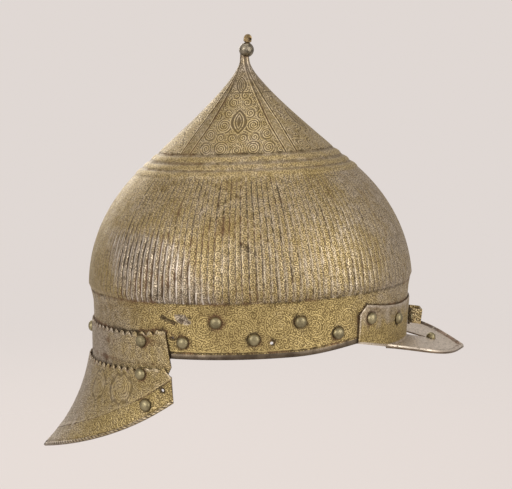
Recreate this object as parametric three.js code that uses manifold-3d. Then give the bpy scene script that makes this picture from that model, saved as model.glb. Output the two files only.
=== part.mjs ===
// Burgonet: a fluted skull drawn up to a pointed crown, a fixed peak with a bracket for a nasal
// bar, and a neck guard of two lames, of which the lower one tilts on its side rivets.
// Millimetres. +X is the wearer's front, +Z is up, and the origin lies on the skull's axis at
// the height of the rim below the ears. A bearing is an angle in degrees round the axis, from 0
// at the front to 90 at the wearer's right, where the photographed side is.
import * as THREE from 'three';
import { mergeVertices } from 'three/addons/utils/BufferGeometryUtils.js';
import Module from 'manifold-3d';

const wasm = await Module();
wasm.setup();

// Sheet and fit
const wall = 1.4;                 // skull sheet
const plateSheet = 1.1;           // peak and neck lames
const seatGap = 0.3;              // clearance between pieces that touch
const runningGap = 1.1;           // clearance between the lame that tilts and the one it laps
const pivotPlay = 0.6;            // more room at the pivot rivets, for the tilt
const cutOverrun = 6;             // how far a cutter reaches past the sheet it pierces

// Skull: radii are measured fore and aft, and the sides are drawn in by sideShare
const sideShare = 0.93;
const rimRadius = 113.9;
const rimSetBack = 1.5;           // the rim lies this much further back than the dome
const lipProud = 0.6;
const lipHeight = 4;
const bandFlare = 1.4;            // how much wider the band's top is than the rim
const bandTopHeight = 29;
const fluteFootProud = 1.6;       // beyond the band's top
const fluteFootRise = 9.5;
const domeProud = 3.1;            // of the dome's widest place, beyond the band's top
const domeWidestRise = 7.8;
const domeFootRise = 13;
const domeHeight = 90;            // from the band's top to the shoulder
const shoulderRadius = 81.04;
const domePowerShare = 0.56;
const frontRimRise = 4.6;
const rimRiseBearings = [75, 40];
const ridgeProud = 0.9;

// Crown: the concave cone above the shoulder, with its point leaning a little forwards
const slopeRise = 15;             // of the ridged slope between shoulder and crown
const crownFootRadius = 63.1;
const crownRise = 66;
const apexRadius = 3.6;
const apexLean = 1.5;
const crownPlug = 15.5;           // from the point down to the hollow

// Heights and radii of the skull that follow from these
const bandTopRadius = rimRadius + bandFlare;
const fluteFootRadius = bandTopRadius + fluteFootProud;
const domeRadius = bandTopRadius + domeProud;
const fluteFootHeight = bandTopHeight + fluteFootRise;
const domeWidestHeight = bandTopHeight + domeWidestRise;
const domeFootHeight = bandTopHeight + domeFootRise;
const shoulderHeight = bandTopHeight + domeHeight;
const crownFootHeight = shoulderHeight + slopeRise;
const apexHeight = crownFootHeight + crownRise;
const crownHollowTop = apexHeight - crownPlug;

// Finial
const stemRadius = 1.3;
const boreClearance = 0.45;
const stemHeadRadius = 2.7;
const stemHeadHeight = 1.4;
const beadRadius = 5.4;
const beadForward = 1.5;
const eyeWidth = 5.8;
const eyeHeight = 6.2;
const eyeDepth = 4.2;
const eyeHoleRadius = 1.2;
const eyeForward = 1.3;

// Peak: a flange riveted round the brow, and a plate that slopes forwards from its foot
const flangeHalfBearing = 50.3;
const flangeChamferBearing = 47;
const flangeLowBearing = 24;
const flangeTopHeight = 24.4;
const flangeTopRise = 5.3;
const flangeChamferDrop = 6.5;
const flangeFootHeight = -5;
const plateRootRise = 1.3;
const plateRootBearing = 33.7;
const flangeEndFootHeight = 3.6;
const peakReach = 42.7;           // from the plate's root to its tip
const peakDrop = 12;
const peakEdgeRise = 0.9;         // raised border along the plate's edge
const peakEdgeWidth = 2.4;
const slotSideRoom = 0.5;         // wider than the bracket's channel, on each side
const slotLength = 14.4;
const slotEndWidth = 5;
const studPastSlot = 4;
const studRadius = 3.6;
const studHeight = 4;

// Nasal bracket: an open-ended staple on the front of the flange
const bracketSheet = 1.4;
const channelWidth = 14;
const channelDepth = 7.8;
const bracketFootWidth = 6.6;
const bracketLength = 10.8;
const bracketExtraLean = 3;       // degrees beyond the lean of the flange
const bracketHeight = 9;          // of its middle

// Upper neck lame
const lameTopBearing = 119.8;
const lameEdgeBearing = 117.9;     // of its front ends where the lower lame begins
const lameHiddenBearing = 121.5;
const upperLameProud = 4;         // of its bottom edge, beyond the rim
const upperLameDrawIn = 1;        // how much smaller its top edge is
const upperLameTopHeight = 16.5;
const upperLameDepth = 35.5;      // from its top edge to its bottom edge
const upperLameCornerRise = 3.8;
const upperLameCornerDrop = 1.8;
const toothPitch = 4.7;
const toothDepth = 2.4;
const toothRoot = 0.6;            // below the notches

// Lower neck lame: from a top edge round the upper lame out to a pointed tail
const lowerTopBearing = 117.3;
const lameLap = 13.4;             // how far it laps the upper lame at the sides
const lowerTopBackDrop = 4;
const lowerCornerDrop = 6;
const tailCornerForward = 0.8;    // of the tail's corner, from the top edge's corner
const tailCornerDrawIn = 1.75;
const tailCornerDrop = 24.3;      // below the top edge at the sides, as all drops of this lame
const tailReach = 38.2;           // behind the top edge
const tailDrop = 75.2;
const tailEdgeProud = 0.5;        // turned edge round the tail
const tailEdgeWidth = 2.2;

// Lining strip inside the band
const liningThickness = 2;
const liningMargin = 1.5;         // from the lowest rivet that holds it to its lower edge

// Rivets and the roves under their closed ends
const headRadius = 4.1;
const headHeight = 3.1;
const shankRadius = 1.5;
const shankClearance = 0.35;
const tailSpread = 0.8;           // of the closed end beyond the shank
const tailLength = 1.1;
const roveRadius = 3;
const roveThickness = 0.8;
const smallHeadRadius = 2.3;
const smallHeadHeight = 1.2;
const airHoleRadius = 1.4;

// Where the rivets and holes of one side lie, as bearings and shares of the band's height
const bandRivetShares = [[113.4, 0.397], [101.7, 0.879], [88.9, 0.466], [73.3, 0.817], [59, 0.459]];
const flangeRivetShares = [[44.8, 0.686], [26.8, 0.493]];
const airHoleShares = [[117.2, 0.503], [82.9, 0.362]];

// Rivets and holes of the lames, with drops below each lame's top edge
const lameRivetBearing = 129.9;
const lameRivetDrop = 5.5;
const backRivetDrop = 8.5;
const pivotBearing = 129.4;
const pivotDrop = 5.6;
const borderRivetBearing = 127;
const borderRivetDrop = 26.4;
const lowerHoleBearing = 120.7;
const lowerHoleDrop = 15.4;

// Facets
const roundSides = 44;
const smallSides = 8;
const domeSteps = 7;
const crownSteps = 9;
const bandPoints = 3;             // of the skull's outline, below the dome
const plateColumns = 9;           // of the peak, on each side of its tip

const lameColumns = spread(26);

const degree = Math.PI / 180;
const backBearing = 180;
const { lerp, clamp, smoothstep } = THREE.MathUtils;

function finish(color, roughness, metalness) {
  return new THREE.MeshStandardMaterial({ color, roughness, metalness });
}

const giltSteel = finish(0x8f7b4a, 0.45, 0.85);
const greySteel = finish(0xa79c8c, 0.5, 0.8);
const darkSteel = finish(0x5f584c, 0.42, 0.85);
const brass = finish(0x8c8458, 0.38, 0.9);
const leather = finish(0x5a3f28, 0.8, 0);

// Meshes

function signedVolume(geometry) {
  const place = geometry.getAttribute('position');
  const index = geometry.getIndex();
  const [a, b, c] = [new THREE.Vector3(), new THREE.Vector3(), new THREE.Vector3()];
  let sum = 0;
  for (let i = 0; i < index.count; i += 3) {
    a.fromBufferAttribute(place, index.getX(i));
    b.fromBufferAttribute(place, index.getX(i + 1));
    c.fromBufferAttribute(place, index.getX(i + 2));
    sum += a.dot(b.cross(c));
  }
  return sum;
}

// Welds the vertices, drops faces without area and turns the faces outwards
function closed(geometry) {
  const bare = geometry.clone();
  bare.deleteAttribute('normal');
  bare.deleteAttribute('uv');
  const welded = mergeVertices(bare);
  const old = welded.getIndex().array;
  const faces = [];
  for (let i = 0; i < old.length; i += 3) {
    const [a, b, c] = [old[i], old[i + 1], old[i + 2]];
    if (a !== b && b !== c && c !== a) faces.push(a, b, c);
  }
  welded.setIndex(faces);
  if (signedVolume(welded) < 0) welded.setIndex(faces.slice().reverse());
  return welded;
}

function solid(geometry) {
  const mesh = closed(geometry);
  return new wasm.Manifold(new wasm.Mesh({
    numProp: 3,
    vertProperties: new Float32Array(mesh.getAttribute('position').array),
    triVerts: new Uint32Array(mesh.getIndex().array),
  }));
}

function geometryOf(body) {
  const mesh = body.getMesh();
  const geometry = new THREE.BufferGeometry();
  geometry.setAttribute('position', new THREE.BufferAttribute(mesh.vertProperties, 3));
  geometry.setIndex(new THREE.BufferAttribute(mesh.triVerts, 1));
  return geometry;
}

function cut(geometry, cutters) {
  return geometryOf(cutters.reduce((body, tool) => body.subtract(solid(tool)), solid(geometry)));
}

function join(geometries) {
  const [first, ...rest] = geometries.map(solid);
  return geometryOf(rest.reduce((body, other) => body.add(other), first));
}

// Turns an outline of [radius, height] pairs about the vertical axis
function turned(outline, sides) {
  const points = outline.map(([radius, height]) => new THREE.Vector2(radius, height));
  return closed(new THREE.LatheGeometry(points, sides).rotateX(Math.PI / 2));
}

// Faces between two neighbouring rows of vertices, which may differ in number
function zip(upper, lower) {
  const faces = [];
  const [lastUpper, lastLower] = [upper.length - 1, lower.length - 1];
  let [i, j] = [0, 0];
  while (i < lastUpper || j < lastLower) {
    const upperIsNext = (i + 1) / lastUpper <= (j + 1) / lastLower;
    if (j === lastLower || (i < lastUpper && upperIsNext)) {
      faces.push(upper[i], upper[i + 1], lower[j]);
      i += 1;
    } else {
      faces.push(upper[i], lower[j + 1], lower[j]);
      j += 1;
    }
  }
  return faces;
}

// Closes two matching lists of rows of points, an outside and an inside, into one sheet
function sheet(outside, inside) {
  const points = [];
  const number = (rows) => rows.map((row) => row.map((point) => points.push(point) - 1));
  const [outer, inner] = [number(outside), number(inside)];
  const faces = [];
  for (let r = 0; r + 1 < outer.length; r += 1) {
    faces.push(...zip(outer[r], outer[r + 1]), ...zip(inner[r + 1], inner[r]));
  }
  const border = (rows) => [
    ...rows[0], ...rows.slice(1).map((row) => row[row.length - 1]),
    ...rows[rows.length - 1].slice(0, -1).reverse(), ...rows.slice(0, -1).map((row) => row[0]).reverse(),
  ];
  faces.push(...zip(border(inner), border(outer)));
  const geometry = new THREE.BufferGeometry().setFromPoints(points);
  geometry.setIndex(faces);
  return closed(geometry);
}

// The outward unit normal of a surface given as a function of two parameters
function normalOf(surface, u, v, step) {
  const along = surface(u + step, v).sub(surface(u - step, v));
  const down = surface(u, v + step).sub(surface(u, v - step));
  const normal = along.cross(down).normalize();
  const point = surface(u, v);
  const outward = new THREE.Vector3(point.x, point.y, 0);
  return normal.dot(outward) < 0 ? normal.negate() : normal;
}

// A round cutter through a sheet at a point, along the sheet's normal
function punch(seat, radius, reach = cutOverrun) {
  const tool = new THREE.CylinderGeometry(radius, radius, 2 * reach, smallSides);
  tool.applyQuaternion(new THREE.Quaternion().setFromUnitVectors(new THREE.Vector3(0, 1, 0), seat.normal));
  return tool.translate(seat.point.x, seat.point.y, seat.point.z);
}

function moved(point, direction, distance) {
  return point.clone().addScaledVector(direction, distance);
}

// Surfaces: each gives the outside of a sheet

function planPoint(radius, bearing, height) {
  const x = radius * Math.cos(bearing * degree);
  const y = -sideShare * radius * Math.sin(bearing * degree);
  return new THREE.Vector3(x, y, height);
}

function bandCentre(height) {
  return -rimSetBack * clamp(1 - height / bandTopHeight, 0, 1 - flangeFootHeight / bandTopHeight);
}

function bandPoint(radius, bearing, height) {
  return planPoint(radius, bearing, height).add(new THREE.Vector3(bandCentre(height), 0, 0));
}

function bandRadius(height) {
  return lerp(rimRadius, bandTopRadius, height / bandTopHeight);
}

// Height over which the dome's curve would close, so that it passes through the shoulder
const domeReach = (shoulderHeight - domeWidestHeight)
  / Math.sqrt(1 - (shoulderRadius / domeRadius) ** (1 / domePowerShare));

function domeRadiusAt(height) {
  const share = (height - domeWidestHeight) / domeReach;
  return domeRadius * (1 - share * share) ** domePowerShare;
}

function flangeRadius(height) {
  return bandRadius(height) + seatGap + plateSheet;
}

const upperLameBottomRadius = rimRadius + upperLameProud;
const upperLameBottomHeight = upperLameTopHeight - upperLameDepth;

function upperLameRadius(height) {
  const share = (height - upperLameBottomHeight) / upperLameDepth;
  return upperLameBottomRadius - upperLameDrawIn * share * share;
}

const lowerTopRadius = upperLameBottomRadius + runningGap + plateSheet;
const lowerTopSideHeight = upperLameBottomHeight + lameLap;

const bandSurface = (bearing, height) => bandPoint(bandRadius(height), bearing, height);
const flangeSurface = (bearing, height) => bandPoint(flangeRadius(height), bearing, height);
const upperLameSurface = (bearing, height) => planPoint(upperLameRadius(height), bearing, height);

// Lower lame: share runs from -1 at the left corner to 1 at the right corner, with the back at
// 0, and fall runs from 0 at the top edge to 1 at the tail's edge
function lowerTop(share) {
  const side = Math.abs(share);
  const backward = 1 - side;
  const drop = lowerTopBackDrop * (1 - side * side);
  const corner = lowerCornerDrop * smoothstep(side, lowerCornerShare, 1);
  const bearing = lerp(lowerTopBearing, backBearing, backward) * Math.sign(share || 1);
  return planPoint(lowerTopRadius, bearing, lowerTopSideHeight - drop - corner);
}
const lowerCornerShare = 0.95;

// The tail's edge on the left, from its corner to its tip. Its two control points are shares of
// the way back, inwards and down
const tailPullShares = [[0.42, 0.077, 0.566], [0.8625, 0.467, 0.739]];
const tailCorner = planPoint(lowerTopRadius, -lowerTopBearing, lowerTopSideHeight - tailCornerDrop)
  .add(new THREE.Vector3(tailCornerForward, -tailCornerDrawIn, 0));
const tailTip = new THREE.Vector3(-lowerTopRadius - tailReach, 0, lowerTopSideHeight - tailDrop);
const tailPulls = tailPullShares.map(([back, inward, down]) => new THREE.Vector3(
  lerp(tailCorner.x, tailTip.x, back),
  lerp(tailCorner.y, tailTip.y, inward),
  lerp(tailCorner.z, tailTip.z, down),
));
const tailCurve = new THREE.CubicBezierCurve3(tailCorner, ...tailPulls, tailTip);

function tailEdge(share) {
  const point = tailCurve.getPoint(1 - Math.abs(share));
  return point.setY(-Math.sign(share || 1) * point.y);
}

const straightFlareShare = 0.42;
const flarePower = 2.4;

function lowerLameSurface(share, fall) {
  const reach = fall < 0 ? fall * straightFlareShare
    : straightFlareShare * fall + (1 - straightFlareShare) * fall ** flarePower;
  const top = lowerTop(share);
  const edge = tailEdge(share);
  const point = top.clone().lerp(edge, reach);
  point.z = lerp(top.z, edge.z, fall);
  return point;
}

const differenceStep = 0.004;

// A seat is a point on a surface and the outward normal there
function seatOn(surface, u, v, step = differenceStep) {
  return { point: surface(u, v), normal: normalOf(surface, u, v, step) };
}

function lowerSeat(bearing, drop) {
  const share = Math.sign(bearing) * (1 - (Math.abs(bearing) - lowerTopBearing)
    / (backBearing - lowerTopBearing));
  const height = lowerTopSideHeight - drop;
  const fall = (height - lowerTop(share).z) / (tailEdge(share).z - lowerTop(share).z);
  return seatOn(lowerLameSurface, share, fall);
}

function bothSides(places) {
  return places.flatMap(([bearing, height]) => [[bearing, height], [-bearing, height]]);
}

// Pieces

function shift(start, end, share) {
  return [lerp(start[0], end[0], share), lerp(start[1], end[1], share)];
}

// Outline of the smooth skull from the rim to the crown's point, without lip and ridges
function skullPath() {
  const path = [[rimRadius, 0], [bandTopRadius, bandTopHeight], [fluteFootRadius, fluteFootHeight]];
  for (let i = 0; i <= domeSteps; i += 1) {
    const height = lerp(domeFootHeight, shoulderHeight, i / domeSteps);
    path.push([domeRadiusAt(height), height]);
  }
  const rise = apexHeight - crownFootHeight;
  const [lowRadiusShare, lowRiseShare, highRadiusShare, highRiseShare] = crownCurveShares;
  const crown = new THREE.CubicBezierCurve(
    new THREE.Vector2(crownFootRadius, crownFootHeight),
    new THREE.Vector2(crownFootRadius * lowRadiusShare, crownFootHeight + rise * lowRiseShare),
    new THREE.Vector2(crownFootRadius * highRadiusShare, crownFootHeight + rise * highRiseShare),
    new THREE.Vector2(apexRadius, apexHeight),
  );
  crown.getPoints(crownSteps).forEach((point) => path.push([point.x, point.y]));
  return path;
}
const crownCurveShares = [1.04, 0, 0, 0.78];

// Three rounded ridges along the straight slope between dome and crown; each is a start, a
// crest and an end along the slope, as shares of it
const ridgeShares = [[0.02, 0.13, 0.28], [0.34, 0.45, 0.57], [0.67, 0.79, 0.92]];

function ridges() {
  const low = [domeRadiusAt(shoulderHeight), shoulderHeight];
  const high = [crownFootRadius, crownFootHeight];
  const run = Math.hypot(high[0] - low[0], high[1] - low[1]);
  const out = [(high[1] - low[1]) / run, (low[0] - high[0]) / run];
  return ridgeShares.flatMap(([start, crest, end]) => {
    const [radius, height] = shift(low, high, crest);
    const top = [radius + out[0] * ridgeProud, height + out[1] * ridgeProud];
    return [shift(low, high, start), top, shift(low, high, end)];
  });
}

// The same outline moved inwards by a distance and cut level at the height where the hollow ends
function inwards(path, distance, highest) {
  const points = [];
  path.forEach((point, i) => {
    const before = path[Math.max(i - 1, 0)];
    const after = path[Math.min(i + 1, path.length - 1)];
    const run = Math.hypot(after[0] - before[0], after[1] - before[1]);
    const radius = point[0] - distance * (after[1] - before[1]) / run;
    const height = i === 0 ? point[1] : point[1] + distance * (after[0] - before[0]) / run;
    points.push([radius, height]);
  });
  const above = points.findIndex(([, height]) => height >= highest);
  const [low, high] = [points[above - 1], points[above]];
  return [...points.slice(0, above), shift(low, high, (highest - low[1]) / (high[1] - low[1]))];
}

// Leans the crown forwards, and over the brow slides the lip up the band and flattens it
function settle(geometry) {
  const place = geometry.getAttribute('position');
  for (let i = 0; i < place.count; i += 1) {
    const [x, y, z] = [place.getX(i), place.getY(i), place.getZ(i)];
    const bearing = Math.abs(Math.atan2(y, x)) / degree;
    const [start, end] = rimRiseBearings;
    const brow = z > lipHeight + seatGap ? 0 : smoothstep(start - bearing, 0, start - end);
    const lift = frontRimRise * brow;
    const radius = Math.hypot(x, y);
    const proud = Math.max(0, radius - bandRadius(z));
    const widen = z > lipHeight ? 1 : (radius - proud * brow + bandRadius(lift) - bandRadius(0)) / radius;
    const forward = crownLean(z) + bandCentre(z + lift);
    place.setXYZ(i, x * widen + forward, y * widen * sideShare, z + lift);
  }
  return geometry;
}

function crownLean(height) {
  return apexLean * Math.max(0, (height - crownFootHeight) / (apexHeight - crownFootHeight));
}

function skullGeometry(holes) {
  const path = skullPath();
  const lip = [
    [rimRadius + lipProud, lipHeight / 4], [rimRadius + lipProud, lipHeight * 2 / 3],
    [bandRadius(lipHeight), lipHeight],
  ];
  const crownStart = path.length - crownSteps - 1;
  const outer = [path[0], ...lip, ...path.slice(1, crownStart - 1), ...ridges(), ...path.slice(crownStart)];
  const isDome = (i) => i >= bandPoints && i <= bandPoints + domeSteps;
  const coarse = path.filter((point, i) => !isDome(i) || i % 2 === 0);
  const hollow = inwards(coarse, wall, crownHollowTop).reverse();
  const boreRadius = stemRadius + boreClearance;
  const crest = [[boreRadius, apexHeight], [boreRadius, crownHollowTop]];
  const outline = [...outer, ...crest, ...hollow, path[0]];
  return cut(settle(turned(outline, roundSides)), holes);
}

// Finial: the stem goes down the crown's bore and is closed over inside
const beadCentre = new THREE.Vector3(apexLean + beadForward, 0, apexHeight + seatGap + beadRadius);
const finialLean = Math.atan2(eyeForward, eyeHeight / 2 + beadRadius);

function leaned(geometry) {
  return geometry.rotateY(finialLean).translate(beadCentre.x, beadCentre.y, beadCentre.z);
}

function beadGeometry() {
  const bore = stemRadius + seatGap;
  const start = Math.asin(bore / beadRadius);
  const steps = smallSides;
  const outline = [];
  for (let i = 0; i <= steps; i += 1) {
    const angle = lerp(start, Math.PI - start, i / steps);
    outline.push([beadRadius * Math.sin(angle), -beadRadius * Math.cos(angle)]);
  }
  outline.push(outline[0]);
  return leaned(turned(outline, 2 * smallSides));
}

function spindleGeometry() {
  const eye = new THREE.Shape();
  const half = eyeWidth / 2;
  const foot = beadRadius - seatGap;
  const shoulderRise = foot + eyeHeight - half;
  eye.moveTo(-half, foot + 2 * seatGap);
  eye.lineTo(half, foot + 2 * seatGap);
  eye.lineTo(half, shoulderRise);
  eye.absarc(0, shoulderRise, half, 0, Math.PI, false);
  const hole = new THREE.Path();
  hole.absarc(0, shoulderRise - eyeHoleRadius / 2, eyeHoleRadius, 0, 2 * Math.PI, true);
  eye.holes.push(hole);
  const options = { depth: eyeDepth, bevelEnabled: false, curveSegments: smallSides };
  const ring = new THREE.ExtrudeGeometry(eye, options);
  ring.translate(0, 0, -eyeDepth / 2).rotateX(Math.PI / 2);
  const shaft = turned([[0, -beadRadius], [stemRadius, -beadRadius],
    [stemRadius, foot + half], [0, foot + half]], smallSides);
  const low = crownHollowTop - seatGap;
  const stemTop = apexHeight + 2 * seatGap;
  const stem = turned([[0, low - stemHeadHeight], [stemHeadRadius, low - stemHeadHeight],
    [stemHeadRadius, low], [stemRadius, low], [stemRadius, stemTop], [0, stemTop]], smallSides);
  stem.translate(crownLean(lerp(crownHollowTop, apexHeight, 0.5)), 0, 0);
  return join([leaned(ring), leaned(shaft), stem]);
}

// Peak

function flangeTop(bearing) {
  const side = Math.abs(bearing);
  const rise = clamp((side - flangeLowBearing) / (flangeChamferBearing - flangeLowBearing), 0, 1);
  const chamfer = Math.max(0, (side - flangeChamferBearing) / (flangeHalfBearing - flangeChamferBearing));
  return flangeTopHeight + flangeTopRise * rise ** flangeRisePower - flangeChamferDrop * chamfer;
}
const flangeRisePower = 1.6;

function flangeFoot(bearing) {
  const side = Math.abs(bearing) / plateRootBearing;
  if (side <= 1) return flangeFootHeight + plateRootRise * side * side;
  const past = (Math.abs(bearing) - plateRootBearing) / (flangeHalfBearing - plateRootBearing);
  return lerp(flangeFootHeight + plateRootRise, flangeEndFootHeight, past);
}

// Where flange and plate meet, over the plate's root from the left (-1) to the right (1)
function plateRoot(share) {
  const bearing = share * plateRootBearing;
  return flangeSurface(bearing, flangeFoot(bearing));
}

// The plate's mid line
const peakRoot = plateRoot(0);
const peakTip = new THREE.Vector3(peakRoot.x + peakReach, 0, peakRoot.z - peakDrop);
const slotEndX = peakRoot.x + slotLength;

// Top of the plate's edge over the same shares, with the tip at 0
function peakEdge(share) {
  const corner = plateRoot(1);
  const [nearX, nearY, farX, farY] = peakCurveShares;
  const reach = peakTip.x - corner.x;
  const curve = new THREE.CubicBezierCurve(
    new THREE.Vector2(corner.x, -corner.y),
    new THREE.Vector2(corner.x + reach * nearX, -corner.y * nearY),
    new THREE.Vector2(corner.x + reach * farX, -corner.y * farY),
    new THREE.Vector2(peakTip.x, 0),
  );
  const point = curve.getPoint(1 - Math.abs(share));
  const along = clamp((point.x - corner.x) / reach, 0, 1);
  const height = lerp(corner.z, peakTip.z, along ** peakFallPower);
  return new THREE.Vector3(point.x, -Math.sign(share || 1) * point.y, height);
}
const peakCurveShares = [0.65, 1.34, 0.77, 0.82];
const peakFallPower = 1.8;

// Columns of the peak from left to right: past the plate's root its width is nothing
const flangeEndBearings = [
  flangeHalfBearing, flangeChamferBearing, (flangeChamferBearing + plateRootBearing) / 2,
];
const flangeEndShares = flangeEndBearings.map((bearing) => bearing / plateRootBearing);
const peakShares = [...flangeEndShares.map((share) => -share)];
for (let i = -plateColumns; i <= plateColumns; i += 1) peakShares.push(i / plateColumns);
peakShares.push(...flangeEndShares.slice().reverse());

function peakSheet() {
  const flangeRow = (row, inset) => peakShares.map((share) => {
    const bearing = share * plateRootBearing;
    const height = lerp(flangeTop(bearing), flangeFoot(bearing), row);
    const isRoot = row === 1 && Math.abs(share) < 1;
    return bandPoint(flangeRadius(height) - inset, bearing, height).setZ(height - (isRoot ? inset : 0));
  });
  const plateRow = (row, inset) => peakShares.map((share, i) => {
    if (Math.abs(share) >= 1) return flangeRow(1, inset)[i];
    const [root, edge] = [plateRoot(share), peakEdge(share)];
    const border = Math.min(0.5, peakEdgeWidth / root.distanceTo(edge));
    const reach = [(1 - border) / 2, 1 - border, 1][row];
    const spot = root.lerp(edge, reach);
    const isEdge = row === 2;
    if (inset > 0) spot.z -= isEdge ? inset / 2 : inset;
    else if (isEdge) spot.z += peakEdgeRise;
    return spot;
  });
  const rows = (inset) => [
    ...[0, 0.5, 1].map((row) => flangeRow(row, inset)), ...[0, 1, 2].map((row) => plateRow(row, inset)),
  ];
  return sheet(rows(0), rows(plateSheet));
}

function slotCutter() {
  const outline = new THREE.Shape();
  const root = peakRoot.x + seatGap;
  const rootHalf = channelWidth / 2 + slotSideRoom;
  const end = slotEndWidth / 2;
  outline.moveTo(root, -rootHalf);
  outline.lineTo(slotEndX - end, -end);
  outline.absarc(slotEndX - end, 0, end, -Math.PI / 2, Math.PI / 2, false);
  outline.lineTo(root, rootHalf);
  const depth = 2 * peakDrop;
  const options = { depth, bevelEnabled: false, curveSegments: smallSides / 2 };
  const tool = new THREE.ExtrudeGeometry(outline, options);
  return tool.translate(0, 0, peakTip.z - depth / 4);
}

const studSeat = {
  point: peakRoot.clone().lerp(peakTip, (slotLength + studPastSlot) / peakReach),
  normal: new THREE.Vector3(peakDrop, 0, peakReach).normalize(),
};

function peakGeometry(holes) {
  return cut(peakSheet(), [slotCutter(), ...holes]);
}

// Bracket: drawn in plan and leaned to stand flat on the flange
const bandLean = Math.atan2(bandFlare + rimSetBack, bandTopHeight);
const bracketLean = bandLean + bracketExtraLean * degree;
const bracketGap = seatGap + Math.sin(bracketExtraLean * degree) * bracketLength / 2;
const bracketHalf = channelWidth / 2 + bracketSheet;

function flangeDepthAt(y) {
  const radius = flangeRadius(bracketHeight);
  return radius * (1 - Math.sqrt(1 - (y / (sideShare * radius)) ** 2));
}

function bracketGeometry(holes) {
  const inner = channelWidth / 2;
  const footEnd = bracketHalf + bracketFootWidth;
  const front = bracketGap + channelDepth;
  const [atInner, atCheek, atEnd] = [inner, bracketHalf, footEnd].map((y) => bracketGap - flangeDepthAt(y));
  const half = [
    [atInner, inner], [atEnd, footEnd], [atEnd + bracketSheet, footEnd],
    [atCheek + bracketSheet, bracketHalf], [front + bracketSheet, bracketHalf],
  ];
  const outline = new THREE.Shape([
    ...half.map(([x, y]) => new THREE.Vector2(x, y)),
    ...half.slice().reverse().map(([x, y]) => new THREE.Vector2(x, -y)),
    new THREE.Vector2(front, -inner),
    new THREE.Vector2(front, inner),
  ]);
  const body = new THREE.ExtrudeGeometry(outline, { depth: bracketLength, bevelEnabled: false });
  body.translate(0, 0, -bracketLength / 2).rotateY(bracketLean);
  return cut(body.translate(flangeSurface(0, bracketHeight).x, 0, bracketHeight), holes);
}

// Neck lames

// Evenly spaced shares from -1 to 1
function spread(columns) {
  return Array.from({ length: columns + 1 }, (unused, i) => 2 * i / columns - 1);
}

// Columns of a top edge of this length: two to a tooth, as a tip and a notch
function toothColumns(length) {
  return spread(2 * Math.round(length / toothPitch));
}

function topEdgeLength(surface) {
  const steps = 60;
  let length = 0;
  for (let i = 0; i < steps; i += 1) {
    length += surface(2 * i / steps - 1).distanceTo(surface(2 * (i + 1) / steps - 1));
  }
  return length;
}

// Front ends of the upper lame: slanted where they show, and set back where they are lapped
function lameBearing(share, height) {
  const shown = (height - lowerTopSideHeight) / (upperLameTopHeight - lowerTopSideHeight);
  const lapped = (height - lowerTopSideHeight) / (upperLameBottomHeight - lowerTopSideHeight);
  const end = shown > 0 ? lerp(lameEdgeBearing, lameTopBearing, shown)
    : lerp(lameEdgeBearing, lameHiddenBearing, lapped);
  return backBearing - share * (backBearing - end);
}

// Top edge of the upper lame: level round the back and rising to a rounded front corner
function upperLameTop(share) {
  const side = Math.abs(share);
  const rise = upperLameCornerRise * clamp((side - upperRiseShare) / (1 - upperRiseShare), 0, 1) ** 2;
  return upperLameTopHeight + rise - upperLameCornerDrop * smoothstep(side, upperCornerShare, 1);
}
const upperRiseShare = 0.67;
const upperCornerShare = 0.97;

function upperLameGeometry(holes) {
  const top = (share) => upperLameSurface(lameBearing(share, upperLameTopHeight), upperLameTop(share));
  const fine = toothColumns(topEdgeLength(top));
  const rows = (inset) => {
    const row = (columns, heightOf) => columns.map((share, i) => {
      const height = heightOf(share, i);
      return planPoint(upperLameRadius(height) - inset, lameBearing(share, height), height);
    });
    return [
      row(fine, (share, i) => upperLameTop(share) - (i % 2 === 0 ? 0 : toothDepth)),
      row(fine, (share) => upperLameTop(share) - toothDepth - toothRoot),
      row(lameColumns, () => lowerTopSideHeight),
      row(lameColumns, () => upperLameBottomHeight),
    ];
  };
  return cut(sheet(rows(0), rows(plateSheet)), holes);
}

const lowerRowShares = [0.3, 0.52, 0.75];

function lowerLameGeometry(holes) {
  const fine = toothColumns(topEdgeLength(lowerTop));
  const rows = (inset) => {
    const row = (columns, fallOf, proud = 0) => columns.map((share, i) => {
      const depth = lowerTop(share).z - tailEdge(share).z;
      const fall = fallOf(depth, i);
      const normal = normalOf(lowerLameSurface, share, fall, differenceStep);
      return moved(lowerLameSurface(share, fall), normal, proud - inset);
    });
    return [
      row(fine, (depth, i) => (i % 2 === 0 ? 0 : toothDepth / depth)),
      row(fine, (depth) => (toothDepth + toothRoot) / depth),
      ...lowerRowShares.map((share) => row(lameColumns, () => share)),
      row(lameColumns, (depth) => 1 - tailEdgeWidth / depth),
      row(lameColumns, () => 1, inset === 0 ? tailEdgeProud : 0),
    ];
  };
  return cut(sheet(rows(0), rows(plateSheet)), holes);
}

// Fastenings

const holeRadius = shankRadius + shankClearance;
const tailRadius = shankRadius + tailSpread;

const headShares = [[0.83, 0.5], [0.45, 0.88]];

function rivetGeometry(size) {
  const { head, height, grip } = size;
  const closedStart = grip + 2 * seatGap;
  const outline = [
    [0, -closedStart - tailLength], [tailRadius, -closedStart - tailLength], [tailRadius, -closedStart],
    [shankRadius, -closedStart], [shankRadius, 0], [head, 0],
    ...headShares.map(([across, up]) => [head * across, height * up]), [0, height],
  ];
  return turned(outline, smallSides);
}

function roveGeometry() {
  const hole = holeRadius;
  const outline = [[hole, -roveThickness], [roveRadius, -roveThickness], [roveRadius, 0], [hole, 0]];
  return turned([...outline, outline[0]], smallSides);
}

function placed(name, geometry, material, seat, depth) {
  const mesh = new THREE.Mesh(geometry, material);
  mesh.name = name;
  mesh.position.copy(moved(seat.point, seat.normal, -depth));
  mesh.quaternion.setFromUnitVectors(new THREE.Vector3(0, 0, 1), seat.normal);
  return mesh;
}

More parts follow.
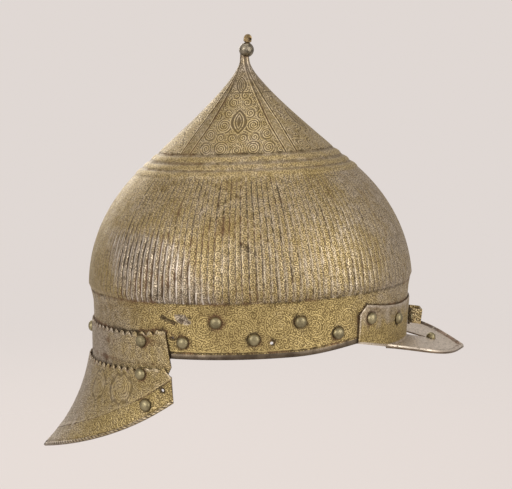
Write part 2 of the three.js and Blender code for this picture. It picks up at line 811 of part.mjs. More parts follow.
// A rivet whose head stands on the seat, and under its closed end a rove if it has one
function rivet(name, seat, options) {
  const { head = headRadius, height = headHeight, stack, rove = true, play = seatGap } = options;
  const grip = stack + (rove ? play + roveThickness : 0);
  const pieces = [placed(name, rivetGeometry({ head, height, grip }), brass, seat, -seatGap)];
  if (rove) pieces.push(placed(`${name}_rove`, roveGeometry(), greySteel, seat, stack + play));
  return pieces;
}

function piece(name, geometry, material) {
  const mesh = new THREE.Mesh(geometry, material);
  mesh.name = name;
  return mesh;
}

// Assembly

// How far the middle of a facet lies inside the round wall
const facetDepth = bandTopRadius * (1 - Math.cos(Math.PI / roundSides));

const sideName = (bearing) => (bearing > 0 ? 'right' : 'left');
const liningStack = seatGap + liningThickness;
const onBand = ([bearing, share]) => [bearing, share * bandTopHeight];
const liningLowHeight = onBand(flangeRivetShares[0])[1] - liningMargin;

// Depth from a seat outside the band to the far side of the skull's wall, with room for a
// closed end that meets the wall at a slant
function throughWall(seat, radius, bearing, height) {
  const slant = Math.tan(seat.normal.angleTo(seatOn(bandSurface, bearing, height).normal));
  return radius - bandRadius(height) + wall + facetDepth + roveRadius * slant;
}

const bandSeats = bothSides(bandRivetShares.map(onBand)).map(([bearing, height], i) => {
  const stack = wall + (height > liningLowHeight ? liningStack : 0);
  const name = `band_rivet_${sideName(bearing)}_${Math.floor(i / 2) + 1}`;
  return { name, seat: seatOn(bandSurface, bearing, height), stack, height };
});
const flangeSeats = bothSides(flangeRivetShares.map(onBand)).map(([bearing, height], i) => {
  const seat = seatOn(flangeSurface, bearing, height);
  const inside = height > liningLowHeight ? liningStack : 0;
  const name = `peak_rivet_${sideName(bearing)}_${Math.floor(i / 2) + 1}`;
  return { name, seat, stack: throughWall(seat, flangeRadius(height), bearing, height) + inside, height };
});
const bracketSeats = [1, -1].map((side) => {
  const y = side * (bracketHalf + bracketFootWidth / 2);
  const height = bracketHeight;
  const bearing = Math.asin(y / (sideShare * flangeRadius(height))) / degree;
  const seat = seatOn(flangeSurface, bearing, height);
  const stack = throughWall(seat, flangeRadius(height), bearing, height) + bracketGap + bracketSheet;
  seat.point.addScaledVector(seat.normal, bracketGap + bracketSheet);
  return { name: `bracket_rivet_${side > 0 ? 'right' : 'left'}`, seat, stack };
});
const lameSeats = [[lameRivetBearing, 'right', lameRivetDrop], [-lameRivetBearing, 'left', lameRivetDrop],
  [backBearing, 'back', backRivetDrop]].map(([bearing, side, drop]) => {
  const height = upperLameTopHeight - drop;
  const seat = seatOn(upperLameSurface, bearing, height);
  const stack = throughWall(seat, upperLameRadius(height), bearing, height);
  return { name: `upper_lame_rivet_${side}`, seat, stack };
});
const pivotSeats = [1, -1].map((side) => {
  const name = `neck_pivot_rivet_${side > 0 ? 'right' : 'left'}`;
  return { name, seat: lowerSeat(side * pivotBearing, pivotDrop), stack: 2 * plateSheet + runningGap };
});
const borderSeats = [1, -1].map((side) => {
  const name = `tail_border_rivet_${side > 0 ? 'right' : 'left'}`;
  return { name, seat: lowerSeat(side * borderRivetBearing, borderRivetDrop), stack: plateSheet };
});

const punchAll = (seats, radius = holeRadius) => seats.map(({ seat }) => punch(seat, radius));
const airHoles = bothSides(airHoleShares.map(onBand)).map(([bearing, height]) => (
  punch(seatOn(bandSurface, bearing, height), airHoleRadius)));
const lowerAirHoles = [1, -1].map((side) => (
  punch(lowerSeat(side * lowerHoleBearing, lowerHoleDrop), airHoleRadius)));
const throughSkull = [...bandSeats, ...flangeSeats, ...bracketSeats, ...lameSeats];
const throughLining = [...bandSeats, ...flangeSeats].filter(({ height }) => height > liningLowHeight);

function liningGeometry() {
  const outside = (height) => bandRadius(height) - wall - seatGap;
  const outline = [
    [outside(liningLowHeight) - liningThickness, liningLowHeight],
    [outside(liningLowHeight), liningLowHeight],
    [outside(bandTopHeight), bandTopHeight],
    [outside(bandTopHeight) - liningThickness, bandTopHeight],
  ];
  const ring = turned([...outline, outline[0]], roundSides);
  return cut(settle(ring), punchAll(throughLining));
}

const peakHoles = [...punchAll([...flangeSeats, ...bracketSeats]), punch(studSeat, holeRadius)];
const upperHoles = [...punchAll(lameSeats), ...punchAll(pivotSeats, holeRadius + pivotPlay)];
const burgonet = new THREE.Group();
burgonet.add(
  piece('skull', skullGeometry([...punchAll(throughSkull), ...airHoles]), giltSteel),
  piece('lining_strip', liningGeometry(), leather),
  piece('finial_bead', beadGeometry(), darkSteel),
  piece('finial_spindle', spindleGeometry(), darkSteel),
  piece('peak', peakGeometry(peakHoles), greySteel),
  piece('nasal_bracket', bracketGeometry(punchAll(bracketSeats)), giltSteel),
  piece('upper_neck_lame', upperLameGeometry(upperHoles), giltSteel),
);
for (const { name, seat, stack } of [...bandSeats, ...flangeSeats]) {
  burgonet.add(...rivet(name, seat, { stack }));
}
for (const { name, seat, stack } of lameSeats) burgonet.add(...rivet(name, seat, { stack, rove: false }));
for (const { name, seat, stack } of bracketSeats) {
  burgonet.add(...rivet(name, seat, { stack, rove: false, head: smallHeadRadius, height: smallHeadHeight }));
}
burgonet.add(...rivet('peak_stud', studSeat, {
  stack: plateSheet, rove: false, head: studRadius, height: studHeight,
}));

// Lower lame and what moves with it
const neckLame = new THREE.Group();
const lowerHoles = [...punchAll([...pivotSeats, ...borderSeats]), ...lowerAirHoles];
neckLame.add(piece('lower_neck_lame', lowerLameGeometry(lowerHoles), giltSteel));
for (const { name, seat, stack } of pivotSeats) {
  neckLame.add(...rivet(name, seat, { stack, play: seatGap + pivotPlay }));
}
for (const { name, seat, stack } of borderSeats) neckLame.add(...rivet(name, seat, { stack, rove: false }));
burgonet.add(neckLame);

export default burgonet;
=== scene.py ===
# Burgonet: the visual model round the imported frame. Sizes here are millimetres, and bearings are
# degrees round the skull's axis, from 0 at the front to 90 at the wearer's right.
import math
from functools import reduce
from itertools import pairwise

import bmesh
import bpy
import numpy as np
from mathutils import Matrix, Vector


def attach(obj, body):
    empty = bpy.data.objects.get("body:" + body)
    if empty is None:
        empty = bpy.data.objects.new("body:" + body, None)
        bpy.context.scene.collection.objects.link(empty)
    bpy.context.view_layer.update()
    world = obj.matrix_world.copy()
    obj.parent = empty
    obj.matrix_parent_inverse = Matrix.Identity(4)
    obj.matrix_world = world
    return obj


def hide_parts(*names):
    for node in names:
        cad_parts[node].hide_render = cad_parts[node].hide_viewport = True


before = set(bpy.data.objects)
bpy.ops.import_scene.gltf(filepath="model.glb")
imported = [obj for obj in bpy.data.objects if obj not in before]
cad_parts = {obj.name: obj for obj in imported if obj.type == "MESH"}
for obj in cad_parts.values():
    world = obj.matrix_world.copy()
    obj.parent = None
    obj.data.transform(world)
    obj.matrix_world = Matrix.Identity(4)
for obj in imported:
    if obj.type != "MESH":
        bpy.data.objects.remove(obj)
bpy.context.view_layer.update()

MM = 0.001
RANDOM = np.random.default_rng(7)

# Sheet and fit
WALL = 1.4
PLATE_SHEET = 1.1
SEAT_GAP = 0.3
RUNNING_GAP = 1.1
PIVOT_PLAY = 0.6

# Skull
SIDE_SHARE = 0.93
RIM_RADIUS = 113.9
RIM_SET_BACK = 1.5
LIP_HEIGHT = 4
BAND_FLARE = 1.4
BAND_TOP_RADIUS = RIM_RADIUS + BAND_FLARE
BAND_TOP = 29
FLUTE_FOOT_RADIUS = BAND_TOP_RADIUS + 1.6
FLUTE_FOOT = BAND_TOP + 9.5
DOME_RADIUS = BAND_TOP_RADIUS + 3.1
DOME_WIDEST = BAND_TOP + 7.8
DOME_FOOT = BAND_TOP + 13
SHOULDER = BAND_TOP + 90
SHOULDER_RADIUS = 81.04
DOME_POWER = 0.56
DOME_REACH = (SHOULDER - DOME_WIDEST) / math.sqrt(
    1 - (SHOULDER_RADIUS / DOME_RADIUS) ** (1 / DOME_POWER))
BROW_RISE = 4.6
BROW_START, BROW_END = 75, 40
BROW_TOP = 20
RIDGE_PROUD = 0.7
RIDGE_SHARES = ((0.02, 0.13, 0.28), (0.34, 0.45, 0.57), (0.67, 0.79, 0.92))
CROWN_FOOT_RADIUS = 63.1
CROWN_FOOT = SHOULDER + 15
APEX_RADIUS = 3.6
APEX = CROWN_FOOT + 66
APEX_LEAN = 1.5
NECK_RADIUS = 3.15
CROWN_PULLS = ((1.04, 0), (0, 0.78))
HOLLOW_TOP = APEX - 15.5

# Flutes of the dome and panels of the crown
FLUTES = 156
FLUTE_DEPTH = 0.62
FLUTE_INSET = 0.15
FLUTE_ROUNDNESS = 0.8
GROOVE_WANDER = 0.13
GROOVE_BENDS = 9
GROOVE_OFFSET = 0.17
GROOVE_UNEVEN = 0.25
DEEP_AT, DEEP_HEIGHT = 130, 64
DEEP_REACH, DEEP_RISE = 10, 22
DEEP_LEAN = 0.4
DEEP_GAIN = 1.25
FAINT_SHARE = 0.55
FAINT_SLANT = 0.8
FAINT_AT = 120
FAINT_FROM, FAINT_TO = 82, 94
FAINT_BROW = (50, 32)
FAINT_BACK = (139, 143)
FAINT_FLANK, FAINT_FLANK_RISE = (84, 66), (54, 66)
GROOVE_START, GROOVE_FULL = 38.4, 41.0
PANELS = 5
PANEL_DEGREES = 360 / PANELS
PANEL_LINE_AT = 59.8
PANEL_LINE_HALF = 4.4
PANEL_LINE_SHARE = 0.105
PANEL_LINE_APART = 1.0
PANEL_LINE_PROUD = 0.3

# Finial
STEM_RADIUS = 1.3
STEM_HEAD_RADIUS = 2.7
STEM_HEAD_HEIGHT = 1.4
BORE_RADIUS = STEM_RADIUS + 0.45
BEAD_RADIUS = 5.4
BEAD_FORWARD = 1.5
EYE_WIDTH = 5.8
EYE_HEIGHT = 6.2
EYE_DEPTH = 4.2
EYE_HOLE_RADIUS = 1.2
EYE_FORWARD = 1.3
EYE_HOLE_TURN = math.radians(34)

# Peak
FLANGE_HALF = 50.3
FLANGE_CHAMFER = 47
FLANGE_LOW = 24
FLANGE_TOP = 24.4
FLANGE_TOP_RISE = 5.3
FLANGE_CHAMFER_DROP = 6.5
FLANGE_FOOT = -5
FLANGE_END_FOOT = 3.6
PLATE_ROOT = 33.7
PLATE_ROOT_RISE = 1.3
PEAK_REACH = 42.7
PEAK_DROP = 12
PEAK_EDGE_RISE = 1.7
PEAK_EDGE_WIDTH = 3.0
SLOT_ROOT_HALF = 7.5
SLOT_END_HALF = 2.5
SLOT_LENGTH = 14.4
STUD_PAST_SLOT = 4
STUD_RADIUS = 3.6
STUD_HEIGHT = 4

# Nasal bracket
BRACKET_SHEET = 1.4
CHANNEL_HALF = 7
CHANNEL_DEPTH = 7.8
BRACKET_HALF = CHANNEL_HALF + BRACKET_SHEET
BRACKET_FOOT = 6.6
BRACKET_LENGTH = 10.8
BRACKET_HEIGHT = 9
BRACKET_EXTRA_LEAN = math.radians(3)
BRACKET_LEAN = math.atan2(BAND_FLARE + RIM_SET_BACK, BAND_TOP) + BRACKET_EXTRA_LEAN
BRACKET_GAP = SEAT_GAP + math.sin(BRACKET_EXTRA_LEAN) * BRACKET_LENGTH / 2

# Neck lames
LAME_TOP_END = 119.8
LAME_EDGE_END = 117.9
LAME_HIDDEN_END = 121.5
UPPER_BOTTOM_RADIUS = RIM_RADIUS + 4
UPPER_DRAW_IN = 1
UPPER_TOP = 16.5
UPPER_DEPTH = 35.5
UPPER_BOTTOM = UPPER_TOP - UPPER_DEPTH
UPPER_CORNER_RISE = 3.8
UPPER_CORNER_DROP = 1.8
TOOTH_PITCH = 6.9
TOOTH_DEPTH = 2.4
TOOTH_SLANT = 1.3
SHALLOW_TOOTH_SHARE = 0.45
LOWER_TOP_RADIUS = UPPER_BOTTOM_RADIUS + RUNNING_GAP + PLATE_SHEET
LOWER_TOP_END = 117.3
LOWER_TOP = UPPER_BOTTOM + 13.4
LOWER_BACK_DROP = 4
LOWER_CORNER_DROP = 6
TAIL_CORNER_SHIFT = (0.8, -1.75, -24.3)
TAIL_REACH = 38.2
TAIL_DROP = 75.2
TAIL_PULLS = ((0.42, 0.077, 0.566), (0.8625, 0.467, 0.739))
STRAIGHT_FLARE_SHARE = 0.42
FLARE_POWER = 2.4
TAIL_BORDER = 16.6
TAIL_BORDER_PROUD = 0.3
LAME_ARC_SHARE = 0.97

# Lining
LINING_THICKNESS = 2
LINING_LOW = 18.4

# Rivets and holes: bearing and share of the band's height, bearing and height, or bearing and drop
HEAD_RADIUS = 4.1
HEAD_HEIGHT = 3.1
SHANK_RADIUS = 1.5
HOLE_RADIUS = SHANK_RADIUS + 0.35
CLOSED_RADIUS = SHANK_RADIUS + 0.8
CLOSED_LENGTH = 1.1
ROVE_RADIUS = 3
ROVE_THICKNESS = 0.8
SMALL_HEAD_RADIUS = 2.3
SMALL_HEAD_HEIGHT = 1.2
AIR_HOLE_RADIUS = 1.15
BAND_RIVETS = ((113.4, 0.397), (101.7, 0.879), (88.9, 0.466), (73.3, 0.817), (59, 0.459))
FLANGE_RIVETS = ((44.8, 0.686), (26.8, 0.493))
AIR_HOLES = ((117.2, 0.503), (82.9, 0.362))
LAME_RIVET = (129.9, UPPER_TOP - 5.5)
BACK_RIVET = (180, UPPER_TOP - 8.5)
PIVOT = (129.4, 5.6)
BORDER_RIVET = (127, 26.4)
LOWER_HOLE = (120.7, 15.4)

# Angles past which an edge stays sharp, and grid densities
SOFT_ANGLE = 40
SHEET_ANGLE = 50
SKULL_ANGLE = 55
LINING_ANGLE = 60
CORNER_ANGLE = 35
COLUMNS_PER_FLUTE = 6
SKULL_COLUMNS = FLUTES * COLUMNS_PER_FLUTE
PANEL_COLUMNS = 40
INNER_COLUMNS = 150
COLUMNS_PER_TOOTH = 12
BEAD_SIDES = 40
FINIAL_SIDES = 24
RIVET_SIDES, RIVET_WOBBLE = 32, 0.02
ROVE_SIDES, ROVE_WOBBLE = 28, 0.012
DRILL_SIDES = 20


# Small sums on arrays

def clamp01(value):
    return np.clip(value, 0, 1)


def lerp(start, end, share):
    return start + (end - start) * share


def way(value, start, end):
    """How much of the way from start to end a value lies, which may be past either."""
    return (value - start) / (end - start)


def smoothstep(value, low, high):
    t = clamp01(way(value, low, high))
    return t * t * (3 - 2 * t)


def bell(distance, width):
    return np.exp(-(distance / width) ** 2)


def most(*values):
    return reduce(np.maximum, values)


def unit(vectors):
    return vectors / np.maximum(np.linalg.norm(vectors, axis=-1, keepdims=True), 1e-9)


def wrap(bearing):
    return (bearing + 180) % 360 - 180


def mm_per_degree(radius):
    return math.pi / 180 * radius


def bezier(controls, share):
    t = np.asarray(share, float)[..., None]
    weights = ((1 - t) ** 3, 3 * t * (1 - t) ** 2, 3 * t * t * (1 - t), t ** 3)
    return sum(weight * np.asarray(point, float) for weight, point in zip(weights, controls))


def half_arc(radius, steps, start=0.0):
    """Half a circle of points from an angle on."""
    angles = np.linspace(start, start + math.pi, steps)
    return [(radius * math.cos(a), radius * math.sin(a)) for a in angles]


# Surfaces of the sheets: arrays of points from bearings and heights, or from shares

def plan(radius, bearing, height):
    angle = np.radians(bearing)
    x, y = radius * np.cos(angle), -SIDE_SHARE * radius * np.sin(angle)
    return np.stack(np.broadcast_arrays(x, y, height + 0 * angle), -1)


def band_centre(height):
    return -RIM_SET_BACK * np.clip(1 - height / BAND_TOP, 0, 1 - FLANGE_FOOT / BAND_TOP)


def band_radius(height):
    return lerp(RIM_RADIUS, BAND_TOP_RADIUS, height / BAND_TOP)


def on_band(radius, bearing, height):
    points = plan(radius, bearing, height)
    points[..., 0] += band_centre(height)
    return points


def dome_radius(height):
    share = (height - DOME_WIDEST) / DOME_REACH
    return DOME_RADIUS * (1 - share * share) ** DOME_POWER


def flange_radius(height):
    return band_radius(height) + SEAT_GAP + PLATE_SHEET


def upper_radius(height):
    share = (height - UPPER_BOTTOM) / UPPER_DEPTH
    return UPPER_BOTTOM_RADIUS - UPPER_DRAW_IN * share * share


def band_surface(bearing, height):
    return on_band(band_radius(height), bearing, height)


def flange_surface(bearing, height):
    return on_band(flange_radius(height), bearing, height)


def upper_surface(bearing, height):
    return plan(upper_radius(height), bearing, height)


def lower_top(share):
    side = np.abs(share)
    drop = LOWER_BACK_DROP * (1 - side * side) + LOWER_CORNER_DROP * smoothstep(side, 0.95, 1)
    bearing = lerp(LOWER_TOP_END, 180, 1 - side) * np.where(share < 0, -1, 1)
    return plan(LOWER_TOP_RADIUS, bearing, LOWER_TOP - drop)


def tail_edge(share):
    corner = plan(LOWER_TOP_RADIUS, -LOWER_TOP_END, LOWER_TOP) + np.array(TAIL_CORNER_SHIFT)
    tip = np.array([-LOWER_TOP_RADIUS - TAIL_REACH, 0, LOWER_TOP - TAIL_DROP])
    pulls = [corner + (tip - corner) * np.array(pull) for pull in TAIL_PULLS]
    points = bezier((corner, *pulls, tip), 1 - np.abs(share))
    points[..., 1] *= np.where(share < 0, 1, -1)
    return points


def lower_surface(share, fall):
    share, fall = np.broadcast_arrays(np.asarray(share, float), np.asarray(fall, float))
    curved = np.maximum(fall, 0) ** FLARE_POWER
    reach = STRAIGHT_FLARE_SHARE * fall + (1 - STRAIGHT_FLARE_SHARE) * curved
    top, edge = lower_top(share), tail_edge(share)
    points = top + (edge - top) * reach[..., None]
    points[..., 2] = lerp(top[..., 2], edge[..., 2], fall)
    return points


def normals_of(surface, u, v, step=0.004):
    along = surface(u + step, v) - surface(u - step, v)
    down = surface(u, v + step) - surface(u, v - step)
    normal = unit(np.cross(along, down))
    outward = surface(u, v) * np.array([1, 1, 0])
    return normal * np.where((normal * outward).sum(-1, keepdims=True) < 0, -1, 1)


def crown_lean(height):
    return APEX_LEAN * np.maximum(0, way(height, CROWN_FOOT, APEX))


def crown_ring(radius, bearing, height):
    ring = plan(radius, bearing, height)
    ring[..., 0] += crown_lean(height)
    return ring


BEAD_CENTRE = np.array([APEX_LEAN + BEAD_FORWARD, 0, APEX + SEAT_GAP + BEAD_RADIUS])


# Seats of the rivets and holes, each a point and its outward normal

def seat_on(surface, u, v):
    u, v = np.float64(u), np.float64(v)
    return surface(u, v), normals_of(surface, u, v)


def lower_seat(bearing, drop):
    share = np.sign(bearing) * (1 - way(abs(bearing), LOWER_TOP_END, 180))
    fall = way(LOWER_TOP - drop, lower_top(share)[2], tail_edge(share)[2])
    return seat_on(lower_surface, share, fall)


def bracket_place(side):
    y = side * (BRACKET_HALF + BRACKET_FOOT / 2)
    return math.degrees(math.asin(y / (SIDE_SHARE * flange_radius(BRACKET_HEIGHT)))), BRACKET_HEIGHT


def bracket_seat(side):
    point, normal = seat_on(flange_surface, *bracket_place(side))
    return point + normal * (BRACKET_GAP + BRACKET_SHEET), normal


def both_sides(places, scale=1):
    return [(side * bearing, height * scale) for bearing, height in places for side in (1, -1)]


def seats_on(surface, places):
    return [seat_on(surface, *place) for place in places]


band_places = both_sides(BAND_RIVETS, BAND_TOP)
flange_places = both_sides(FLANGE_RIVETS, BAND_TOP)
upper_places = [*both_sides([LAME_RIVET]), BACK_RIVET]
band_seats = seats_on(band_surface, band_places)
flange_seats = seats_on(flange_surface, flange_places)
bracket_seats = [bracket_seat(side) for side in (1, -1)]
upper_seats = seats_on(upper_surface, upper_places)
air_seats = seats_on(band_surface, both_sides(AIR_HOLES, BAND_TOP))
pivot_seats, border_seats, lower_hole_seats = (
    [lower_seat(*place) for place in both_sides([one])]
    for one in (PIVOT, BORDER_RIVET, LOWER_HOLE))


def grime_round(points, seats, radius):
    """Dirt and painted contact shadow at each point: a ring round each fastening's edge and a halo.
    """
    dirt = np.zeros(points.shape[:-1])
    for place, _ in seats:
        past = np.linalg.norm(points - place, axis=-1) - radius
        dirt = most(dirt, 1.3 * bell(past, 0.9), 0.45 * bell(past, 2.6))
    return dirt


# Meshes

def add_object(name, data, materials=()):
    thing = bpy.data.objects.new(name, data)
    bpy.context.scene.collection.objects.link(thing)
    for material in materials:
        data.materials.append(material)
    return thing


class Shape:
    """Points, faces, a material number for each face and named values for each point."""

    def __init__(self):
        self.points, self.faces, self.face_materials = [], [], []
        self.values = {}
        self.count = 0

    def add(self, points, **values):
        """Adds an array of points and returns their numbers in the same layout."""
        numbers = np.arange(points[..., 0].size).reshape(points.shape[:-1]) + self.count
        self.points.append(points.reshape(-1, 3))
        for name in dict.fromkeys([*self.values, *values]):
            new = np.broadcast_to(values.get(name, 0.0), points.shape[:-1]).ravel()
            self.values.setdefault(name, [np.zeros(self.count)]).append(new)
        self.count += numbers.size
        return numbers

    def fill(self, faces, material=0):
        self.faces += np.asarray(faces).tolist()
        self.face_materials += [material] * len(faces)

    def grid(self, numbers, material=0):
        corners = numbers[:-1, :-1], numbers[1:, :-1], numbers[1:, 1:], numbers[:-1, 1:]
        self.fill(np.stack(corners, -1).reshape(-1, 4), material)

    def belt(self, low, high, material=0):
        """Quads between two closed rings with equally many points."""
        self.fill(np.stack([low, np.roll(low, -1), np.roll(high, -1), high], -1), material)

    def tube(self, rings):
        for low, high in pairwise(rings):
            self.belt(low, high)

    def uneven_belt(self, low, high, low_at, high_at, material=0):
        """Triangles between two closed rings whose points lie at other places round the axis."""
        faces, i, j = [], 0, 0
        turned = np.argsort((high_at - low_at[0]) % 360)
        high, high_at = high[turned], (high_at[turned] - low_at[0]) % 360 + low_at[0]
        at_low = np.append(low_at, low_at[0] + 360)
        at_high = np.append(high_at, high_at[0] + 360)
        while i < len(low) or j < len(high):
            a, b = low[i % len(low)], high[j % len(high)]
            if j == len(high) or (i < len(low) and at_low[i + 1] <= at_high[j + 1]):
                i += 1
                faces.append((a, low[i % len(low)], b))
            else:
                j += 1
                faces.append((a, high[j % len(high)], b))
        self.fill(faces, material)

    def object(self, name, materials, smooth_angle=SOFT_ANGLE):
        mesh = bpy.data.meshes.new(name)
        mesh.from_pydata((np.concatenate(self.points) * MM).tolist(), [], self.faces)
        mesh.polygons.foreach_set("material_index", self.face_materials)
        for label, parts in self.values.items():
            layer = mesh.attributes.new(label, "FLOAT", "POINT")
            layer.data.foreach_set("value", np.concatenate(parts).astype(np.float32))
        piece = add_object(name, mesh, materials)
        face_outwards(mesh)
        finish_normals(mesh, smooth_angle)
        return piece


def face_outwards(mesh):
    edit = bmesh.new()
    edit.from_mesh(mesh)
    bmesh.ops.remove_doubles(edit, verts=edit.verts, dist=1e-7)
    bmesh.ops.recalc_face_normals(edit, faces=edit.faces)
    if edit.calc_volume(signed=True) < 0:
        bmesh.ops.reverse_faces(edit, faces=edit.faces)
    edit.to_mesh(mesh)
    edit.free()


def finish_normals(mesh, smooth_angle=SOFT_ANGLE):
    mesh.shade_smooth()
    mesh.set_sharp_from_angle(angle=math.radians(smooth_angle))


def plate(name, outside, inside, values, material):
    """A closed sheet between two equal grids, forged inside, its edges dark with painted outline
    shade.
    """
    shape = Shape()
    outer, inner = shape.add(outside, **values), shape.add(inside)
    shape.grid(outer)
    shape.grid(inner[:, ::-1], 1)
    shape.belt(*(np.concatenate([n[0], n[1:, -1], n[-1, -2::-1], n[-2:0:-1, 0]])
                 for n in (outer, inner)), 2)
    return shape.object(name, [material, INSIDE, EDGE_AND_OUTLINE_SHADE], SHEET_ANGLE)


def revolve(profile, sides, wobble=0.0):
    """Points of a profile of radii and heights turned about the Z axis, as rings."""
    angle = np.linspace(0, 2 * math.pi, sides, endpoint=False)
    radius, height = np.asarray(profile, float).T[..., None]
    rings = np.stack(np.broadcast_arrays(
        radius * np.cos(angle), radius * np.sin(angle), height), -1)
    return rings + RANDOM.normal(0, 1, rings.shape) * wobble * (radius[..., None] > 0)


def turned(name, profile, sides, material, smooth_angle=SOFT_ANGLE, wobble=0.0):
    """A closed body of revolution; the profile closes on itself or ends on the axis."""
    shape = Shape()
    shape.tube(shape.add(revolve(profile, sides, wobble)))
    return shape.object(name, [material], smooth_angle)


def rod_profile(radius, reach):
    return [(0, -reach), (radius, -reach), (radius, reach), (0, reach)]


def turn_to(normal):
    """The rotation that stands the Z axis along a normal."""
    return Vector((0, 0, 1)).rotation_difference(Vector(normal)).to_matrix()


def shift_by(x, y, z):
    return Matrix.Translation((x * MM, y * MM, z * MM))


def combine(piece, tool, operation):
    """Joins a closed object to another or takes it away from it, and deletes the first."""
    modifier = piece.modifiers.new("boolean", "BOOLEAN")
    modifier.operation, modifier.solver, modifier.object = operation, "MANIFOLD", tool
    with bpy.context.temp_override(object=piece, active_object=piece, selected_objects=[piece]):
        bpy.ops.object.modifier_apply(modifier=modifier.name)
    bpy.data.objects.remove(tool)


def drill(piece, material, groups, reach):
    """Drills round holes, given as groups of seats and a radius."""
    shape = Shape()
    for seats, radius in groups:
        for place, normal in seats:
            ring = revolve(rod_profile(radius, reach), DRILL_SIDES)
            shape.tube(shape.add(ring @ np.array(turn_to(normal)).T + place))
    combine(piece, shape.object("drill", [material]), "DIFFERENCE")
    finish_normals(piece.data)


def place_piece(piece, body, slot_name, *nodes):
    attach(piece, body)
    if nodes:
        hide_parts(*nodes)
    return piece


# Node trees

class Nodes:
    """A node tree under construction."""

    def __init__(self, owner):
        owner.use_nodes = True
        self.owner, self.tree = owner, owner.node_tree
        self.tree.nodes.clear()

    def node(self, kind, inputs=None, **settings):
        """A node; inputs are values, sockets or fields by the name or number of their socket."""
        node = self.tree.nodes.new(kind)
        for name, value in settings.items():
            setattr(node, name, value)
        for name, value in (inputs or {}).items():
            value = value.socket if isinstance(value, Field) else value
            if isinstance(value, bpy.types.NodeSocket):
                self.tree.links.new(value, node.inputs[name])
            else:
                node.inputs[name].default_value = value
        return node


def operation(kind, swapped=False):
    """A method of Field that makes one maths node."""
    def method(field, *others):
        return field.paint.math(kind, *((*others, field) if swapped else (field, *others)))
    return method


class Field:
    """A value that changes over a surface, with the arithmetic of a node tree."""

    def __init__(self, paint, socket):
        self.paint, self.socket = paint, socket

    __add__ = __radd__ = operation("ADD")
    __sub__, __rsub__ = operation("SUBTRACT"), operation("SUBTRACT", swapped=True)
    __mul__ = __rmul__ = operation("MULTIPLY")
    __truediv__ = operation("DIVIDE")
    floor, fraction, size = operation("FLOOR"), operation("FRACT"), operation("ABSOLUTE")
    at_most, at_least = operation("MINIMUM"), operation("MAXIMUM")

    def step(self, low, high):
        """Rises smoothly from 0 at low to 1 at high; high may be the smaller one."""
        inputs = {"Value": self, "From Min": low, "From Max": high}
        node = self.paint.node("ShaderNodeMapRange", inputs, interpolation_type="SMOOTHSTEP")
        return Field(self.paint, node.outputs["Result"])

    def near(self, close, far):
        """1 where the value is closer to 0 than close, either way, and 0 past far."""
        return self.size().step(far, close)


class Paint(Nodes):
    """A material under construction."""

    def __init__(self, name):
        super().__init__(bpy.data.materials.new(name))
        here = self.node("ShaderNodeTexCoord").outputs["Object"]
        scale = {0: here, "Scale": 1 / MM}
        self.place = self.node("ShaderNodeVectorMath", scale, operation="SCALE").outputs[0]
        self.x, self.y, self.z = self.split(self.place)

    def math(self, kind, *values):
        node = self.node("ShaderNodeMath", dict(enumerate(values)), operation=kind)
        return Field(self, node.outputs[0])

    def split(self, vector):
        node = self.node("ShaderNodeSeparateXYZ", {0: vector})
        return [Field(self, socket) for socket in node.outputs]

    def vector(self, x, y):
        return self.node("ShaderNodeCombineXYZ", {0: x, 1: y}).outputs[0]

    def value(self, name):
        """A named value of the mesh's points."""
        return Field(self, self.node("ShaderNodeAttribute", attribute_name=name).outputs["Fac"])

    def noise(self, size, detail=3.0, rough=0.5, stretch=None):
        """Cloudy noise with features of a size in millimetres, from 0 to 1."""
        place = self.place
        if stretch:
            scale = {0: place, 1: stretch}
            place = self.node("ShaderNodeVectorMath", scale, operation="MULTIPLY").outputs[0]
        inputs = {"Vector": place, "Scale": 1 / size, "Detail": detail, "Roughness": rough}
        return Field(self, self.node("ShaderNodeTexNoise", inputs).outputs["Fac"])

    def cells(self, x, y, size, randomness):
        """Scattered cells: the place in each cell from its middle, in the units of x and y, and two
        random values for each cell."""
        inputs = {"Vector": self.vector(x / size, y / size), "Scale": 1.0, "Randomness": randomness}
        node = self.node("ShaderNodeTexVoronoi", inputs, voronoi_dimensions="2D")
        middle_x, middle_y, _ = self.split(node.outputs["Position"])
        one, two, _ = self.split(node.outputs["Color"])
        return x - middle_x * size, y - middle_y * size, one, two

    def chance(self, x, y):
        """A random value from 0 to 1 for each pair of whole numbers."""
        inputs = {"Vector": self.vector(x, y)}
        node = self.node("ShaderNodeTexWhiteNoise", inputs, noise_dimensions="2D")
        return Field(self, node.outputs["Value"])

    def polar(self, x, y):
        """Distance from the middle, and turns round it."""
        radius = self.math("SQRT", x * x + y * y)
        return radius, self.math("ARCTAN2", y, x) / (2 * math.pi)

    def bearing(self):
        """Degrees round the skull's axis, as in the sheets' formulas."""
        return self.math("ARCTAN2", self.y / -SIDE_SHARE, self.x) * (180 / math.pi)

    def axis_radius(self, centre=0.0):
        """Distance from the skull's axis, measured along X."""
        return self.polar(self.x - centre, self.y / SIDE_SHARE)[0]

    def mix(self, share, first, second):
        """A colour between two; 0, 6 and 7 are the node's sockets for a share and colours."""
        colours = ((*c, 1.0) if isinstance(c, tuple) else c for c in (first, second))
        inputs = dict(zip((0, 6, 7), (share, *colours)))
        return self.node("ShaderNodeMix", inputs, data_type="RGBA").outputs[2]

    def bump(self, height, depth, onto=None):
        inputs = {"Height": height, "Distance": depth * MM, "Strength": 1.0}
        if onto is not None:
            inputs["Normal"] = onto
        return self.node("ShaderNodeBump", inputs).outputs["Normal"]

    def finish(self, colour, roughness, normal, metallic=1.0):
        shader = self.node("ShaderNodeBsdfPrincipled", {
            "Base Color": colour, "Roughness": roughness, "Metallic": metallic, "Normal": normal})
        return self.output(shader)

    def output(self, shader):
        self.node("ShaderNodeOutputMaterial", {"Surface": shader.outputs[0]})
        return self.owner


# Ornament: each gives a relief from 0 in the ground to 1 on the lines

